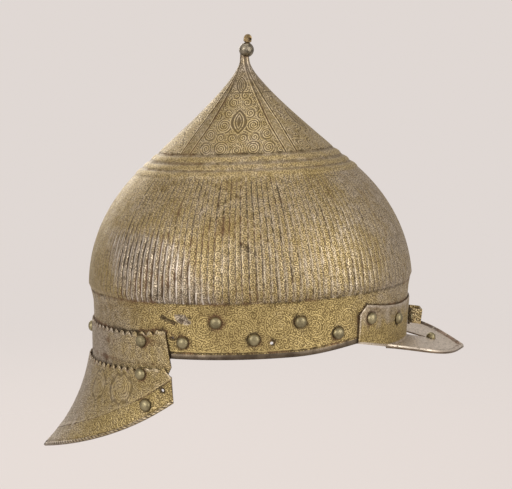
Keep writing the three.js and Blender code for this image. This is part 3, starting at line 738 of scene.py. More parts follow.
def stripes(value, width=0.5, soft=0.24):
    """Lines one unit apart, as wide as a share of that."""
    return (value.fraction() * 2 - 1).near(width - soft, width + soft)


def line_at(distance, half, soft=0.15):
    return distance.near(half - soft, half + soft)


def layered(under, over, cover):
    return under * (1 - cover) + over * cover


def alternate(number):
    """1 and -1 in turn for whole numbers."""
    return ((number * 0.5).fraction() - 0.25).step(0.01, -0.01) * 2 - 1


def spiral(paint, x, y, pitch, hand, start, width):
    """One spiral line round the origin of x and y."""
    radius, turn = paint.polar(x, y)
    return stripes(radius / pitch - hand * turn + start, width)


def small_scrolls(paint, x, y, size, pitch, width=0.5, randomness=0.75):
    """Small spirals that fill a field, turning either way."""
    near_x, near_y, one, two = paint.cells(x, y, size, randomness)
    hand = (one - 0.5).step(-0.01, 0.01) * 2 - 1
    return spiral(paint, near_x, near_y, pitch, hand, two, width)


def running_scroll(paint, under, x, y, pitch, apart, rise, reach):
    """Lays large spirals over a relief, each on the other side of the middle line than the last: a
    bold line with a dark line along each side."""
    number = (x / apart).floor()
    side = alternate(number)
    radius, turn = paint.polar(x - (number + 0.5) * apart, (y - side * rise) * side)
    place = radius / pitch - turn
    cover = radius.step(reach + 0.6, reach - 0.6) * (paint.noise(8, 2) + 0.2).step(0.45, 0.65)
    relief = under * (1 - stripes(place, 0.44, 0.1) * cover * 0.9)
    return relief.at_least(stripes(place, 0.2, 0.12) * cover)


def smear(paint, start, end, half, radius=BAND_TOP_RADIUS):
    """A ragged smear between two places, each a bearing and a height."""
    to_mm = mm_per_degree(radius)
    run_x, run_y = (end[0] - start[0]) * to_mm, end[1] - start[1]
    x, y = (paint.bearing() - start[0]) * to_mm, paint.z - start[1]
    share = (x * run_x + y * run_y) * (1 / (run_x * run_x + run_y * run_y))
    share = share.at_least(0.0).at_most(1.0)
    distance, _ = paint.polar(x - share * run_x, y - share * run_y)
    return (distance + (paint.noise(3.2, 3) - 0.5) * half * 2.2).step(half * 1.5, half * 0.4)


def smears(paint, table, radius=BAND_TOP_RADIUS):
    return sum(smear(paint, *place, radius) * strength for *place, strength in table)


# Colours
GOLD = (0.615, 0.485, 0.215)
GOLD_DEEP = (0.45, 0.35, 0.155)
GOLD_GROUND = (0.152, 0.109, 0.043)
STEEL = (0.55, 0.470, 0.360)
STEEL_DARK = (0.36, 0.295, 0.215)
STEEL_PALE_AND_SHEEN = (0.73, 0.665, 0.58)
STEEL_GROUND = (0.165, 0.135, 0.10)
PIT_AND_SHADE = (0.055, 0.040, 0.026)
RUST_AND_SHADE = (0.150, 0.085, 0.050)


def etched(paint, relief, gilding, dirt, contrast, depth=0.14, bare=None, pale_and_sheen=None):
    """Gilt and etched steel: gold or worn steel lines on a dark ground, with grime and painted
    shade.
    """
    cloud = paint.noise(24, 4, 0.6)
    patch = paint.noise(5.0, 4, 0.65)
    speck = paint.noise(1.5, 3, 0.75)
    gold_share = (gilding + (cloud - 0.5) * 0.7 + (patch - 0.5) * 0.55).step(0.15, 0.85)
    gold = paint.mix((cloud * 0.6 + patch * 0.4).step(0.38, 0.62), GOLD, GOLD_DEEP)
    steel = paint.mix(patch.step(0.35, 0.7), STEEL, STEEL_DARK)
    # Paler steel where asked: wear, a painted reflection on the peak's plate and a painted
    # highlight on the dome's crests.
    if pale_and_sheen is not None:
        steel = paint.mix(pale_and_sheen, steel, STEEL_PALE_AND_SHEEN)
    metal = paint.mix(gold_share, steel, gold)
    ground = paint.mix(gold_share, STEEL_GROUND, GOLD_GROUND)
    low = (1 - relief) * ((1 - speck) * 1.1 + 0.4) * contrast
    low = low.at_least((0.46 - speck).step(0.0, 0.08) * 0.9).at_most(1.0)
    if bare is not None:
        low = low * (1 - bare)
    # Real dirt and painted shade in grooves, creases, holes and gaps darken towards pit and rust
    # colours.
    dirt = dirt + paint.value("grime")
    stain_and_shade = dirt * (patch * 1.2 + 0.35) + (patch - 0.60) * 0.9 + (cloud - 0.55) * 0.5
    stain_and_shade = stain_and_shade.step(0.1, 0.95)
    filth_and_shade = paint.mix(cloud.step(0.45, 0.6), PIT_AND_SHADE, RUST_AND_SHADE)
    colour = paint.mix(stain_and_shade * 0.85, paint.mix(low, metal, ground), filth_and_shade)
    rough = patch * 0.14 + low * 0.1 + stain_and_shade * 0.15 + 0.40
    fine = paint.bump(speck * 0.5 + paint.noise(6, 2) * 2.0, 0.06)
    return paint.finish(colour, rough, paint.bump(relief, depth, fine))


# Marks on the band and dome: the bearing and height of both ends, the half width and, for smears
# and stains, the strength
BAND_SMEARS = (((121, 28), (117.2, 25), 2, 0.75), ((115.6, 25.2), (110.8, 28.6), 1.4, 0.5))
BAND_SCRAPE = ((115, 28), (112, 26), 2.8)
DOME_SCUFF = ((113.1, 58.3), (125.3, 39.3), 2.8)
DOME_STAINS = (
    ((43.2, 101), (41.3, 87), 0.8, 0.7), ((101, 108), (99, 84), 3.6, 0.4),
    ((92, 77), (88, 70), 1.8, 0.6), ((77, 111), (75, 98), 2.4, 0.45),
    ((117, 104), (119, 90), 2.2, 0.35), ((64, 104), (60, 88), 2.4, 0.3),
)

# Heights of the band's ornament, the spacing of the flutes' scrolls, and the radius that turns a
# bearing into a length on the ridges
BAND_SCROLL_HEIGHT = 20.5
BAND_LINE_HEIGHT = 5.3
FLUTE_SCROLL_STEP = 3.3
RIDGE_RADIUS = 72

# Bearings and heights where the gilding is kept or worn, and where worn crests are painted pale as
# a highlight
BAND_GILT_AT = 88
SILVER_AND_HIGHLIGHT_AT, SILVER_AND_HIGHLIGHT_HEIGHT = 126, 58
RUBBED_AND_HIGHLIGHT_AT, RUBBED_AND_HIGHLIGHT_HEIGHT = 66, 66
FLANK_AT = 92


def band_material():
    paint = Paint("gilt_band")
    bearing = paint.bearing()
    x = bearing * mm_per_degree(band_radius(BAND_TOP / 2)) + 1.4
    small = small_scrolls(paint, x, paint.z, size=3.6, pitch=1.5, width=0.6)
    relief = running_scroll(paint, small, x, paint.z - BAND_SCROLL_HEIGHT,
                            pitch=3.9, apart=25, rise=1.8, reach=11)
    relief = relief.at_least(line_at(paint.z - BAND_LINE_HEIGHT, 0.45, 0.3))
    gilding = (bearing.size() - BAND_GILT_AT).near(26, 60) * 0.4 + 0.44
    bare = smear(paint, *BAND_SCRAPE)
    mottled = bare * paint.noise(2.6, 3, 0.7).step(0.42, 0.6) * 0.6
    dirt = smears(paint, BAND_SMEARS) + 0.28 + mottled
    return etched(paint, relief, gilding - bare * 0.8, dirt, 1.0, 0.12, bare * 0.35)


def dome_material():
    """Scrolls along each flute, which follow its groove, with silvery crests at the right rear:
    worn gilding and a painted highlight.
    """
    paint = Paint("gilt_flutes")
    bearing, z = paint.bearing(), paint.z
    place = (bearing - paint.value("shift")) * (FLUTES / 360)
    number = place.floor()
    share = place - number - 0.5
    across = share * (paint.axis_radius() * (2 * math.pi / FLUTES))
    along = paint.value("along") + paint.chance(number, number) * FLUTE_SCROLL_STEP
    turn = (along / FLUTE_SCROLL_STEP).floor()
    side, luck = alternate(turn), paint.chance(number, turn)
    near_x = across - side * (luck - 0.2) * 0.9
    near_y = along - (turn + luck * 0.5 + 0.25) * FLUTE_SCROLL_STEP
    scrolls = spiral(paint, near_x, near_y, 1.4, side, luck * 1.3, 0.5)
    small = small_scrolls(paint, across + number * 37, along, 2.5, 1.45, randomness=0.85)
    rib = share.near(0.36, 0.50)
    relief = layered(small * 0.8, scrolls * 0.6 + small * 0.4, rib).step(0.12, 0.78)
    front = bearing.near(30, 52)
    broken = paint.noise(3.0, 3, 0.7, stretch=(1, 1, 0.25))
    # Pale lines along one flank of each rib, strongest at the right rear and weaker at the front
    # right: worn gilding and a painted highlight where the lamps catch the ribs.
    worn = (share - 0.24).near(0.06, 0.18) * (broken + 0.1).step(0.45, 0.65)
    above = z - SILVER_AND_HIGHLIGHT_HEIGHT
    silver_and_highlight = (bearing - SILVER_AND_HIGHLIGHT_AT - above * DEEP_LEAN).near(12, 23) * above.near(14, 32)
    right = (bearing - RUBBED_AND_HIGHLIGHT_AT).near(14, 34) * (z - RUBBED_AND_HIGHLIGHT_HEIGHT).near(22, 46)
    crest = worn * (silver_and_highlight + right * 0.3 + 0.05).at_most(1.0) * (1 - front)
    gilding = rib * 0.34 - silver_and_highlight * 0.3 - crest * 0.5 - front * 0.2 + 0.26
    marks = smear(paint, *DOME_SCUFF, DOME_RADIUS) * (0.85 - rib * 0.5)
    marks = marks + smears(paint, DOME_STAINS, DOME_RADIUS)
    flank = 1 - (bearing - FLANK_AT).near(34, 58)
    # Broken dark lines along the grooves, stronger high up and towards the front and back: painted
    # shade in the grooves.
    strokes = share.size().step(0.38, 0.47) * broken.step(0.40, 0.58)
    strokes = strokes * (z.step(60, 92).at_least(flank) * 0.35 + 0.32)
    relief = relief + (1 - relief) * flank * 0.3
    return etched(paint, relief, gilding, marks + strokes, 1.4, 0.16, bare=crest, pale_and_sheen=crest)


def ridge_material():
    paint = Paint("gilt_ridges")
    crest = paint.value("crest")
    x = paint.bearing() * mm_per_degree(RIDGE_RADIUS)
    relief = small_scrolls(paint, x, paint.value("along"), 3.0, 1.5)
    relief = layered(relief * 0.4 + 0.25, relief * 0.75 + 0.25, crest.step(0.1, 0.6))
    return etched(paint, relief, crest * 0.15 + 0.5, 0.0, 1.15, 0.12)


# The scrolls of a crown panel: across from its middle line and up from its foot, reach and hand.
# They are mirrored, and heights are shares of the way up the slope as seen from the side.
CROWN_HEIGHT_SHARE = 0.76
CROWN_SCROLLS = (
    ((10.5, 21.6), 5.6, 1), ((7.6, 30.6), 3.2, -1), ((4.8, 38.4), 3.2, 1), ((3.7, 11.9), 2.9, -1),
    ((12.0, 12.4), 3.0, -1), ((20.6, 14.8), 4.4, 1), ((11.4, 4.2), 4.8, 1), ((0.0, 2.4), 2.6, 1),
    ((22.4, 4.4), 4.6, -1), ((31.0, 3.2), 3.0, 1), ((15.6, 29.0), 2.4, 1), ((3.2, 43.6), 2.0, -1),
)
CROWN_SCROLL_PITCH = 1.55
CROWN_LINE_UP = 45.6
CROWN_GILT_HEIGHT = 152

# Its pointed ovals: height, half width and half height
CROWN_OVALS = ((24.1, 3.4, 7.2), (51.0, 2.3, 4.8))


def crown_material():
    paint = Paint("gilt_crown")
    radius = paint.axis_radius(paint.value("lean"))
    place = (paint.bearing() - PANEL_LINE_AT) / PANEL_DEGREES
    share = place - place.floor() - 0.5
    panel_width = radius * (2 * math.pi / PANELS)
    across = share * panel_width
    x, y = across.size(), paint.value("along") * CROWN_HEIGHT_SHARE
    relief = small_scrolls(paint, across, y, 3.2, 1.35)
    for middle, reach, hand in CROWN_SCROLLS:
        reached, turn = paint.polar(x - middle[0], y - middle[1])
        lines = stripes(reached / CROWN_SCROLL_PITCH - turn * hand + 0.1, 0.56, 0.2)
        relief = layered(relief, lines, reached.step(reach + 0.5, reach))
        relief = relief * (1 - line_at(reached - reach - 0.3, 0.25) * 0.7)
        relief = relief.at_least(line_at(reached - reach - 1.0, 0.3) * 0.9)
    for middle, half_width, half_height in CROWN_OVALS:
        along = (y - middle) / half_height
        oval = x / half_width + along * along
        rings = line_at(oval - 1.0, 0.13, 0.08).at_least(line_at(oval - 0.45, 0.1, 0.08))
        relief = layered(relief, rings, oval.step(1.75, 1.55))
        relief = relief.at_least(line_at(oval - 1.85, 0.13, 0.1))
    relief = relief * (1 - line_at(y - CROWN_LINE_UP, 0.4))
    half = (radius * PANEL_LINE_SHARE).at_most(PANEL_LINE_HALF)
    distance = (0.5 - share.size()) * panel_width - half
    strip = distance.step(PANEL_LINE_APART + 0.9, PANEL_LINE_APART + 0.6)
    lines = line_at(distance.size() - PANEL_LINE_APART, 0.5, 0.2)
    inside = distance.step(-1.7, -2.1) * (stripes(y * 0.35 + distance * 0.3) * 0.3 + 0.4)
    relief = layered(relief, lines.at_least(inside), strip)
    gilding = (paint.z - CROWN_GILT_HEIGHT).near(22, 44) * 0.3 + 0.25
    return etched(paint, relief, gilding, 0.1, 1.2, 0.18)


# The upper lame's dark smears and the lower lame's medallions: across from the back's middle line
# and down, half width and half height
UPPER_SMEARS = ((108, 7, 13, 3.5), (62, 9, 14, 2.5), (55, 24, 5, 8))
MEDALLIONS = ((56.5, 15.4, 7.4, 9.2), (83.8, 14.8, 9.7, 8.9))
LAME_SCROLL_DROP = 18
LAME_HALF_ARC = 125
ROPE_WIDTH = 2.5


def lame_material(name, gilt_from, gilt_to, medallions=(), dark_smears=()):
    """Etched lame: across is the way round from the back's middle line and fall the drop."""
    paint = Paint(name)
    u, v, border = paint.value("across"), paint.value("fall"), paint.value("border")
    aside = u.size()
    small = small_scrolls(paint, u, v, 3.1, 1.35)
    relief = running_scroll(paint, small, u, v - LAME_SCROLL_DROP,
                            pitch=3.4, apart=22, rise=3, reach=9)
    for across, drop, wide, high in medallions:
        oval, _ = paint.polar((aside - across + (v - drop) * 0.12) / wide, (v - drop) / high)
        rings = stripes(oval * (wide / 2), 0.6, 0.2)
        relief = layered(relief, rings * 0.85 + relief * 0.1 + 0.05, oval.step(1.1, 1.0))
        relief = relief * (1 - line_at(oval - 1.15, 0.09, 0.05))
    on_border = border.step(TAIL_BORDER + 0.2, TAIL_BORDER - 0.2)
    relief = layered(relief, small_scrolls(paint, u, border, 3.2, 1.5), on_border)
    rope = border.step(ROPE_WIDTH + 0.2, ROPE_WIDTH - 0.2)
    strands = stripes((u + border * 1.5) / 3.0, soft=0.4)
    relief = layered(relief, strands * 0.7 + 0.1, rope)
    relief = relief.at_least(line_at(border - TAIL_BORDER - 1.3, 0.3, 0.4) * 0.8)
    crease = line_at(border - TAIL_BORDER, 0.55, 0.45)
    dirt = crease * (paint.noise(7, 3).step(0.35, 0.6) * 0.6 + 0.4)
    dirt = dirt + rope * (1 - strands) * 0.7 + line_at(border - 3.1, 0.2, 0.4) * 0.7
    dirt = dirt + aside.step(4.0, 1.5) * border.step(7.0, 3.0) + 0.05
    for across, drop, wide, high in dark_smears:
        reach, _ = paint.polar((aside - across) / wide, (v - drop) / high)
        dirt = dirt + (reach + paint.noise(4, 3) - 0.5).step(1.3, 0.5) * 0.5
    gilding = (aside / LAME_HALF_ARC).step(gilt_from, gilt_to) * 0.45 + on_border * 0.15 + 0.14
    tips = v.step(3.2, 1.2) * paint.noise(6, 3).step(0.4, 0.65) * 0.45
    gilding = gilding - (tips + rope * 0.6) * 0.4
    return etched(paint, relief, gilding, dirt, 0.85, bare=tips, pale_and_sheen=tips.at_least(rope * 0.15))


def peak_material():
    """Etched and partly gilt on the flange, bare on the plate, whose steel is painted paler as a
    reflection of the light above.
    """
    paint = Paint("peak_steel")
    bearing, z = paint.bearing(), paint.z
    x = bearing * mm_per_degree(flange_radius(0))
    flange, worn = paint.value("flange"), paint.value("worn")
    small = small_scrolls(paint, x, z, 3.8, 1.75)
    scrolls = running_scroll(paint, small, x - 6, z - 5, pitch=3.6, apart=17, rise=3, reach=8.5)
    low_down = (z + (paint.noise(8, 3) - 0.5) * 26).step(24, 8) * bearing.size().step(7, 16)
    shown = flange * (low_down * 0.5 + 0.5)
    plain = 1 - paint.noise(2.6, 4, 0.7).step(0.52, 0.75) * 0.5
    gilding = shown * low_down * 0.5 + flange * 0.44 - 0.08 - worn * 0.5
    dirt = flange * (1 - low_down) * 0.38
    # The plate's bare steel is painted paler: a painted reflection of the light from above.
    return etched(paint, layered(plain, scrolls, shown), gilding, dirt, 0.9, 0.12,
                  bare=worn * 0.7, pale_and_sheen=(1 - flange) * 0.55 + worn * 0.35)


def bracket_material():
    paint = Paint("gilt_bracket")
    relief = small_scrolls(paint, paint.x + paint.y, paint.z, 3.6, 1.6)
    out = paint.axis_radius(band_centre(BRACKET_HEIGHT)) - float(flange_radius(BRACKET_HEIGHT))
    frame_line = (paint.z - BRACKET_HEIGHT).size().step(4.2, 4.8)
    frame_line = (out - 4.2).step(-0.6, -1.4).at_least(frame_line)
    relief = relief.at_least(frame_line * out.step(3.0, 4.0) * 0.7)
    # Painted shadow on the cheek close to the flange, where the gap between them lies.
    return etched(paint, relief, 0.65, out.step(4.4, 1.6) * 1.1 + 0.28, 1.2)


def plain_metal(name, light, dark, rough=0.42, grain=6.0, scratch=0.06, dirt=None):
    """Bare metal with cloudy tarnish, small pits and fine scratches."""
    paint = Paint(name)
    cloud = paint.noise(grain * 2, 4, 0.6)
    pits = paint.noise(grain / 4, 3, 0.65)
    colour = paint.mix(cloud.step(0.35, 0.7), light, dark)
    colour = paint.mix(pits.step(0.58, 0.74) * 0.6, colour, PIT_AND_SHADE)
    if dirt:
        colour = paint.mix(paint.value(dirt).step(0.2, 1.0) * 0.8, colour, PIT_AND_SHADE)
    roughness = cloud * 0.15 + pits * 0.14 + rough - 0.12
    height = paint.noise(grain, 3) * 1.5 + paint.noise(grain / 12, 2) * 0.3
    return paint.finish(colour, roughness, paint.bump(height, scratch))


def leather_material():
    paint = Paint("dark_leather")
    cloud = paint.noise(9, 4, 0.6)
    x, y, *_ = paint.cells(paint.x + paint.z * 0.6, paint.y + paint.z * 0.7, 0.9, 1.0)
    colour = paint.mix(cloud.step(0.3, 0.7), (0.10, 0.055, 0.03), (0.19, 0.11, 0.065))
    normal = paint.bump(paint.noise(0.5, 3) * 0.4 - paint.polar(x, y)[0], 0.12)
    return paint.finish(colour, cloud * 0.2 + 0.6, normal, metallic=0.0)


def thread_material():
    paint = Paint("linen_thread")
    twist = ((paint.x + paint.y + paint.z * 1.4) * 1.6).fraction()
    colour = paint.mix(paint.noise(5).step(0.3, 0.7), (0.34, 0.27, 0.17), (0.20, 0.15, 0.09))
    return paint.finish(colour, paint.noise(2) * 0.1 + 0.75, paint.bump(twist, 0.1), metallic=0.0)


INSIDE = plain_metal("forged_inside", (0.26, 0.21, 0.16), (0.12, 0.09, 0.06), 0.55, 9.0, 0.3)
RIM = plain_metal(
    "rolled_rim", (0.140, 0.112, 0.080), (0.072, 0.055, 0.039), 0.42, 5.0, 0.1, "grime")
# Cut edges and hole walls: dark steel, darkened further as painted shade along outlines and in
# holes.
EDGE_AND_OUTLINE_SHADE = plain_metal("edge_and_outline_shade", (0.25, 0.195, 0.140), (0.11, 0.082, 0.055), 0.45, 3.0)
BRASS = plain_metal("olive_brass", (0.335, 0.292, 0.175), (0.18, 0.155, 0.09), 0.46, 2.6, 0.09)
DARK_STEEL = plain_metal("dark_steel", (0.30, 0.265, 0.20), (0.07, 0.06, 0.044), 0.36, 1.5, 0.13)
BRIGHT_BRASS = plain_metal("worn_brass", (0.42, 0.31, 0.16), (0.17, 0.125, 0.065), 0.36, 2.0)
GREY_STEEL = plain_metal("grey_steel", (0.40, 0.34, 0.27), (0.22, 0.18, 0.14), 0.42, 3.0, 0.07)
LEATHER = leather_material()


# Skull

def brow_lift(bearing, height):
    """How far the rim's rows slide up over the brow, and how near the brow they are."""
    brow = smoothstep(BROW_START - np.abs(wrap(bearing)), 0, BROW_START - BROW_END)
    return BROW_RISE * brow * clamp01(way(height, BROW_TOP, LIP_HEIGHT)), brow


def skull_ring(bearing, radius_of, height, proud=0.0):
    """A ring of points whose radius follows the band at the lifted height."""
    lift, brow = brow_lift(bearing, height)
    raised = height + lift
    radius = radius_of(raised) + proud * np.where(height <= LIP_HEIGHT, 1 - brow, 1)
    ring = crown_ring(radius, bearing, raised)
    ring[..., 0] += band_centre(raised)
    return ring


def crease_radius(height):
    above = clamp01(way(height, BAND_TOP, FLUTE_FOOT)) ** 1.4
    flare = lerp(BAND_TOP_RADIUS, FLUTE_FOOT_RADIUS, above)
    return np.where(height < BAND_TOP, band_radius(height), flare)


def dome_ring_radius(height):
    """The smooth dome's radius, from the crease at its foot."""
    if height < DOME_FOOT:
        share = way(height, FLUTE_FOOT, DOME_FOOT)
        return lerp(FLUTE_FOOT_RADIUS, float(dome_radius(DOME_FOOT)), share)
    return float(dome_radius(height))


def slope_rows():
    """Radius, height and ridge swell of each row up the straight slope above the shoulder."""
    share = np.linspace(0, 1, 34)
    swell = np.zeros_like(share)
    for start, crest, end in RIDGE_SHARES:
        rising, falling = way(share, start, crest), way(share, crest, end)
        place = np.where(share < crest, rising / 2, 0.5 + falling / 2)
        round_top = np.sin(np.pi * clamp01(place)) ** 0.65
        swell += np.where((place > 0) & (place < 1), round_top, 0)
    rise, inset = CROWN_FOOT - SHOULDER, SHOULDER_RADIUS - CROWN_FOOT_RADIUS
    proud = RIDGE_PROUD * swell / math.hypot(inset, rise)
    radius = lerp(SHOULDER_RADIUS, CROWN_FOOT_RADIUS, share) + rise * proud
    return zip(radius, lerp(SHOULDER, CROWN_FOOT, share) + inset * proud, swell)


def crown_curve(steps):
    rise = APEX - CROWN_FOOT
    pulls = [(CROWN_FOOT_RADIUS * across, CROWN_FOOT + rise * up) for across, up in CROWN_PULLS]
    controls = ((CROWN_FOOT_RADIUS, CROWN_FOOT), *pulls, (APEX_RADIUS, APEX))
    return bezier(controls, np.linspace(0, 1, steps)).T


def crown_columns(radius):
    """Bearings of the crown's columns, close together at the raised lines between its panels, and
    how far each lies from the nearest line's dark middle."""
    middle = min(PANEL_LINE_HALF, radius * PANEL_LINE_SHARE)
    to_degrees = 180 / math.pi / radius
    strip = (middle + 2 * PANEL_LINE_APART) * to_degrees
    near = np.linspace(-strip, strip, PANEL_COLUMNS, endpoint=False)
    far = np.linspace(strip, PANEL_DEGREES - strip, PANEL_COLUMNS, endpoint=False)
    panel = np.concatenate([near, far])
    starts = PANEL_LINE_AT + np.arange(PANELS) * PANEL_DEGREES
    distance = np.abs(np.abs(np.minimum(panel, PANEL_DEGREES - panel)) / to_degrees - middle)
    return (starts[:, None] + panel).ravel(), np.tile(distance, PANELS)


def inner_outline():
    """Radius and height of each row of the hollow, a wall's thickness inside, from the rim up."""
    heights = np.concatenate([np.linspace(0, FLUTE_FOOT, 8), np.linspace(DOME_FOOT, SHOULDER, 10)])
    dome = dome_radius(np.maximum(heights, DOME_FOOT))
    radii = np.where(heights < FLUTE_FOOT + 1, crease_radius(heights), dome)
    radii, heights = np.concatenate([[radii, heights], crown_curve(14)], 1)
    along_radius, along_height = np.gradient(radii), np.gradient(heights)
    run = np.hypot(along_radius, along_height)
    inner_radius = radii - WALL * along_height / run
    inner_height = heights + WALL * along_radius / run
    inner_height[0] = 0
    keep = inner_height < HOLLOW_TOP
    return zip(inner_radius[keep], inner_height[keep])


BAND_SLOT, DOME_SLOT, RIDGE_SLOT, CROWN_SLOT, INSIDE_SLOT, RIM_SLOT = range(6)

# The rolled lip: height and how proud it stands
LIP_ROWS = ((0.0, 0.0), (0.35, 0.42), (0.9, 0.58), (1.6, 0.6), (2.4, 0.52), (3.1, 0.32),
            (3.6, 0.06), (4.0, -0.16), (4.5, -0.16), (5.0, 0.0), (5.6, 0.05))
LIP_END = 3.8
BAND_ROWS = (*np.linspace(6.6, 35.5, 22), 36.6, 37.4, 38.0)
DOME_ROWS = (38.6, 39.2, 40.0, 41.0,
             *(SHOULDER - (SHOULDER - DOME_FOOT) * (1 - np.linspace(0, 1, 30)) ** 1.35))


class Rings(Shape):
    """Rings of one closed body, from its outer edge up the outside and down the inside."""

    def __init__(self):
        super().__init__()
        self.rows, self.along, self.last = [], 0.0, None

    def add_ring(self, bearing, ring, material, **values):
        flat = np.array([np.hypot(ring[0, 0], ring[0, 1] / SIDE_SHARE), ring[0, 2]])
        self.along += 0 if self.last is None else float(np.linalg.norm(flat - self.last))
        self.last = flat
        self.rows.append((bearing, self.add(ring, along=self.along, **values), material))

    def close(self, closing):
        rows = [*self.rows, (*self.rows[0][:2], closing)]
        for (low_at, low, _), (high_at, high, material) in pairwise(rows):
            if len(low) == len(high):
                self.belt(low, high, material)
            else:
                self.uneven_belt(low, high, low_at, high_at, material)


def beside_plates(bearing, height):
    """How far a place on the band lies from the edge of the peak's flange or the upper lame."""
    side = np.abs(wrap(bearing))
    to_mm = mm_per_degree(BAND_TOP_RADIUS)
    from_flange = most((side - FLANGE_HALF) * to_mm, height - flange_top(side))
    back = np.minimum(way(side, 180, LAME_TOP_END), 1)
    from_lame = most((LAME_TOP_END - side) * to_mm, height - upper_top(back))
    return np.minimum(np.abs(from_flange), np.abs(from_lame))


def add_band(rings, fine):
    # Painted shade in the groove above the rolled lip and along its underside.
    for height, proud in LIP_ROWS:
        rings.add_ring(fine, skull_ring(fine, band_radius, height, proud),
                       RIM_SLOT if height < LIP_END else BAND_SLOT,
                       grime=0.75 * bell(height - 4.3, 0.8) + 0.45 * bell(height, 0.8))
    for height in BAND_ROWS:
        ring = skull_ring(fine, crease_radius, height)
        # Dirt and painted contact shadow at rivets and air holes, a darker crease at the flute
        # foot, and painted shadow beside the flange and upper lame.
        dirt = most(grime_round(ring, band_seats + flange_seats, HEAD_RADIUS),
                    grime_round(ring, air_seats, AIR_HOLE_RADIUS),
                    0.65 * bell(height - FLUTE_FOOT, 1.4),
                    0.95 * bell(beside_plates(fine, height), 1.2))
        rings.add_ring(fine, ring, BAND_SLOT, grime=dirt)


def add_dome(rings, fine):
    """The fluted dome; each groove wanders a little and is cut to its own depth."""
    wave = clamp01(1.05 * np.abs(np.sin(np.pi * fine * FLUTES / 360)) ** FLUTE_ROUNDNESS)
    uneven = 1 + GROOVE_UNEVEN * np.repeat(RANDOM.normal(0, 1, FLUTES), COLUMNS_PER_FLUTE)
    wander = RANDOM.normal(0, GROOVE_WANDER, (GROOVE_BENDS, FLUTES))
    wander = wander + RANDOM.normal(0, GROOVE_OFFSET, FLUTES)
    side = np.abs(wrap(fine))
    for height in DOME_ROWS:
        ends = smoothstep(height, GROOVE_START, GROOVE_FULL)
        ends = ends * smoothstep(height, SHOULDER, SHOULDER - 3)
        bend = clamp01(way(height, FLUTE_FOOT, SHOULDER)) * (GROOVE_BENDS - 1)
        low = min(int(bend), GROOVE_BENDS - 2)
        shift = lerp(wander[low], wander[low + 1], smoothstep(bend - low, 0, 1)) * ends
        shift = np.interp(np.arange(SKULL_COLUMNS) / COLUMNS_PER_FLUTE, np.arange(FLUTES + 1),
                          np.append(shift, shift[0]))
        faint = smoothstep(height + FAINT_SLANT * (side - FAINT_AT), FAINT_FROM, FAINT_TO)
        flank = smoothstep(side, *FAINT_FLANK) * smoothstep(height, *FAINT_FLANK_RISE)
        faint = most(faint * smoothstep(height, SHOULDER - 8, SHOULDER - 22), 1.2 * flank,
                     smoothstep(side, *FAINT_BROW), 1.6 * smoothstep(side, *FAINT_BACK))
        above = height - DEEP_HEIGHT
        deep = DEEP_GAIN * bell(side - DEEP_AT - DEEP_LEAN * above, DEEP_REACH)
        deep = deep * bell(above, DEEP_RISE)
        cut_in = ends * (1 - wave) * uneven * lerp(1, FAINT_SHARE, faint)
        radius = dome_ring_radius(height) - FLUTE_INSET - FLUTE_DEPTH * cut_in * (0.85 + deep * 0.6)
        # Painted shade in the grooves, stronger where they are cut deeper, and a darker crease at
        # the flute foot.
        dirt = most((0.68 + deep) * cut_in, 0.7 * bell(height - FLUTE_FOOT, 1.0))
        rings.add_ring(fine, plan(radius, fine + shift, height), DOME_SLOT,
                       grime=dirt, crest=wave, shift=shift)


def add_crown(rings):
    """The ridged slope and the crown with its panel lines, up to the cup under the bead."""
    at, _ = crown_columns(CROWN_FOOT_RADIUS)
    for r, h, swell in list(slope_rows())[1:]:
        # Painted shade in the grooves between the ridges.
        rings.add_ring(at, plan(r, at, h), RIDGE_SLOT, grime=0.5 * (1 - swell) ** 4, crest=swell)
    rings.crown_foot = rings.along
    for r, h in list(zip(*crown_curve(38)))[1:-1]:
        at, distance = crown_columns(r)
        fade = smoothstep(h, CROWN_FOOT, CROWN_FOOT + 1.5) * smoothstep(r, 7, 14)
        raised = bell(distance - PANEL_LINE_APART, 0.5) * fade
        ring = crown_ring(max(r, NECK_RADIUS) + PANEL_LINE_PROUD * raised, at, h)
        # Painted shade in the groove between each pair of raised panel lines, and a darker crease
        # at the crown's foot.
        dirt = most(0.95 * bell(distance, 0.6) * fade, bell(h - CROWN_FOOT, 1.3) * 0.7)
        rings.add_ring(at, ring, CROWN_SLOT, grime=dirt, lean=crown_lean(h))
    # Painted shade in the cup under the bead.
    for r in (NECK_RADIUS, NECK_RADIUS - 0.5):
        ring = crown_ring(r, at, APEX)
        aside = np.hypot(ring[:, 0] - BEAD_CENTRE[0], ring[:, 1])
        ring[..., 2] = BEAD_CENTRE[2] - np.sqrt(BEAD_RADIUS ** 2 - aside ** 2) - 0.12
        rings.add_ring(at, ring, CROWN_SLOT, grime=0.5, lean=crown_lean(APEX))


def add_hollow(rings):
    at = np.linspace(0, 360, INNER_COLUMNS, endpoint=False)
    for h in (APEX, HOLLOW_TOP):
        ring = crown_ring(BORE_RADIUS / math.sqrt(SIDE_SHARE), at, h)
        rings.add_ring(at, ring, INSIDE_SLOT)
    for r, h in reversed(list(inner_outline())):
        ring = crown_ring(r, at, h)
        if h < FLUTE_FOOT:
            ring = skull_ring(at, crease_radius, h)
            centre = np.stack([band_centre(ring[:, 2]), 0 * at, ring[:, 2]], -1)
            ring += unit(ring - centre) * (r - float(crease_radius(h)))
        rings.add_ring(at, ring, INSIDE_SLOT)


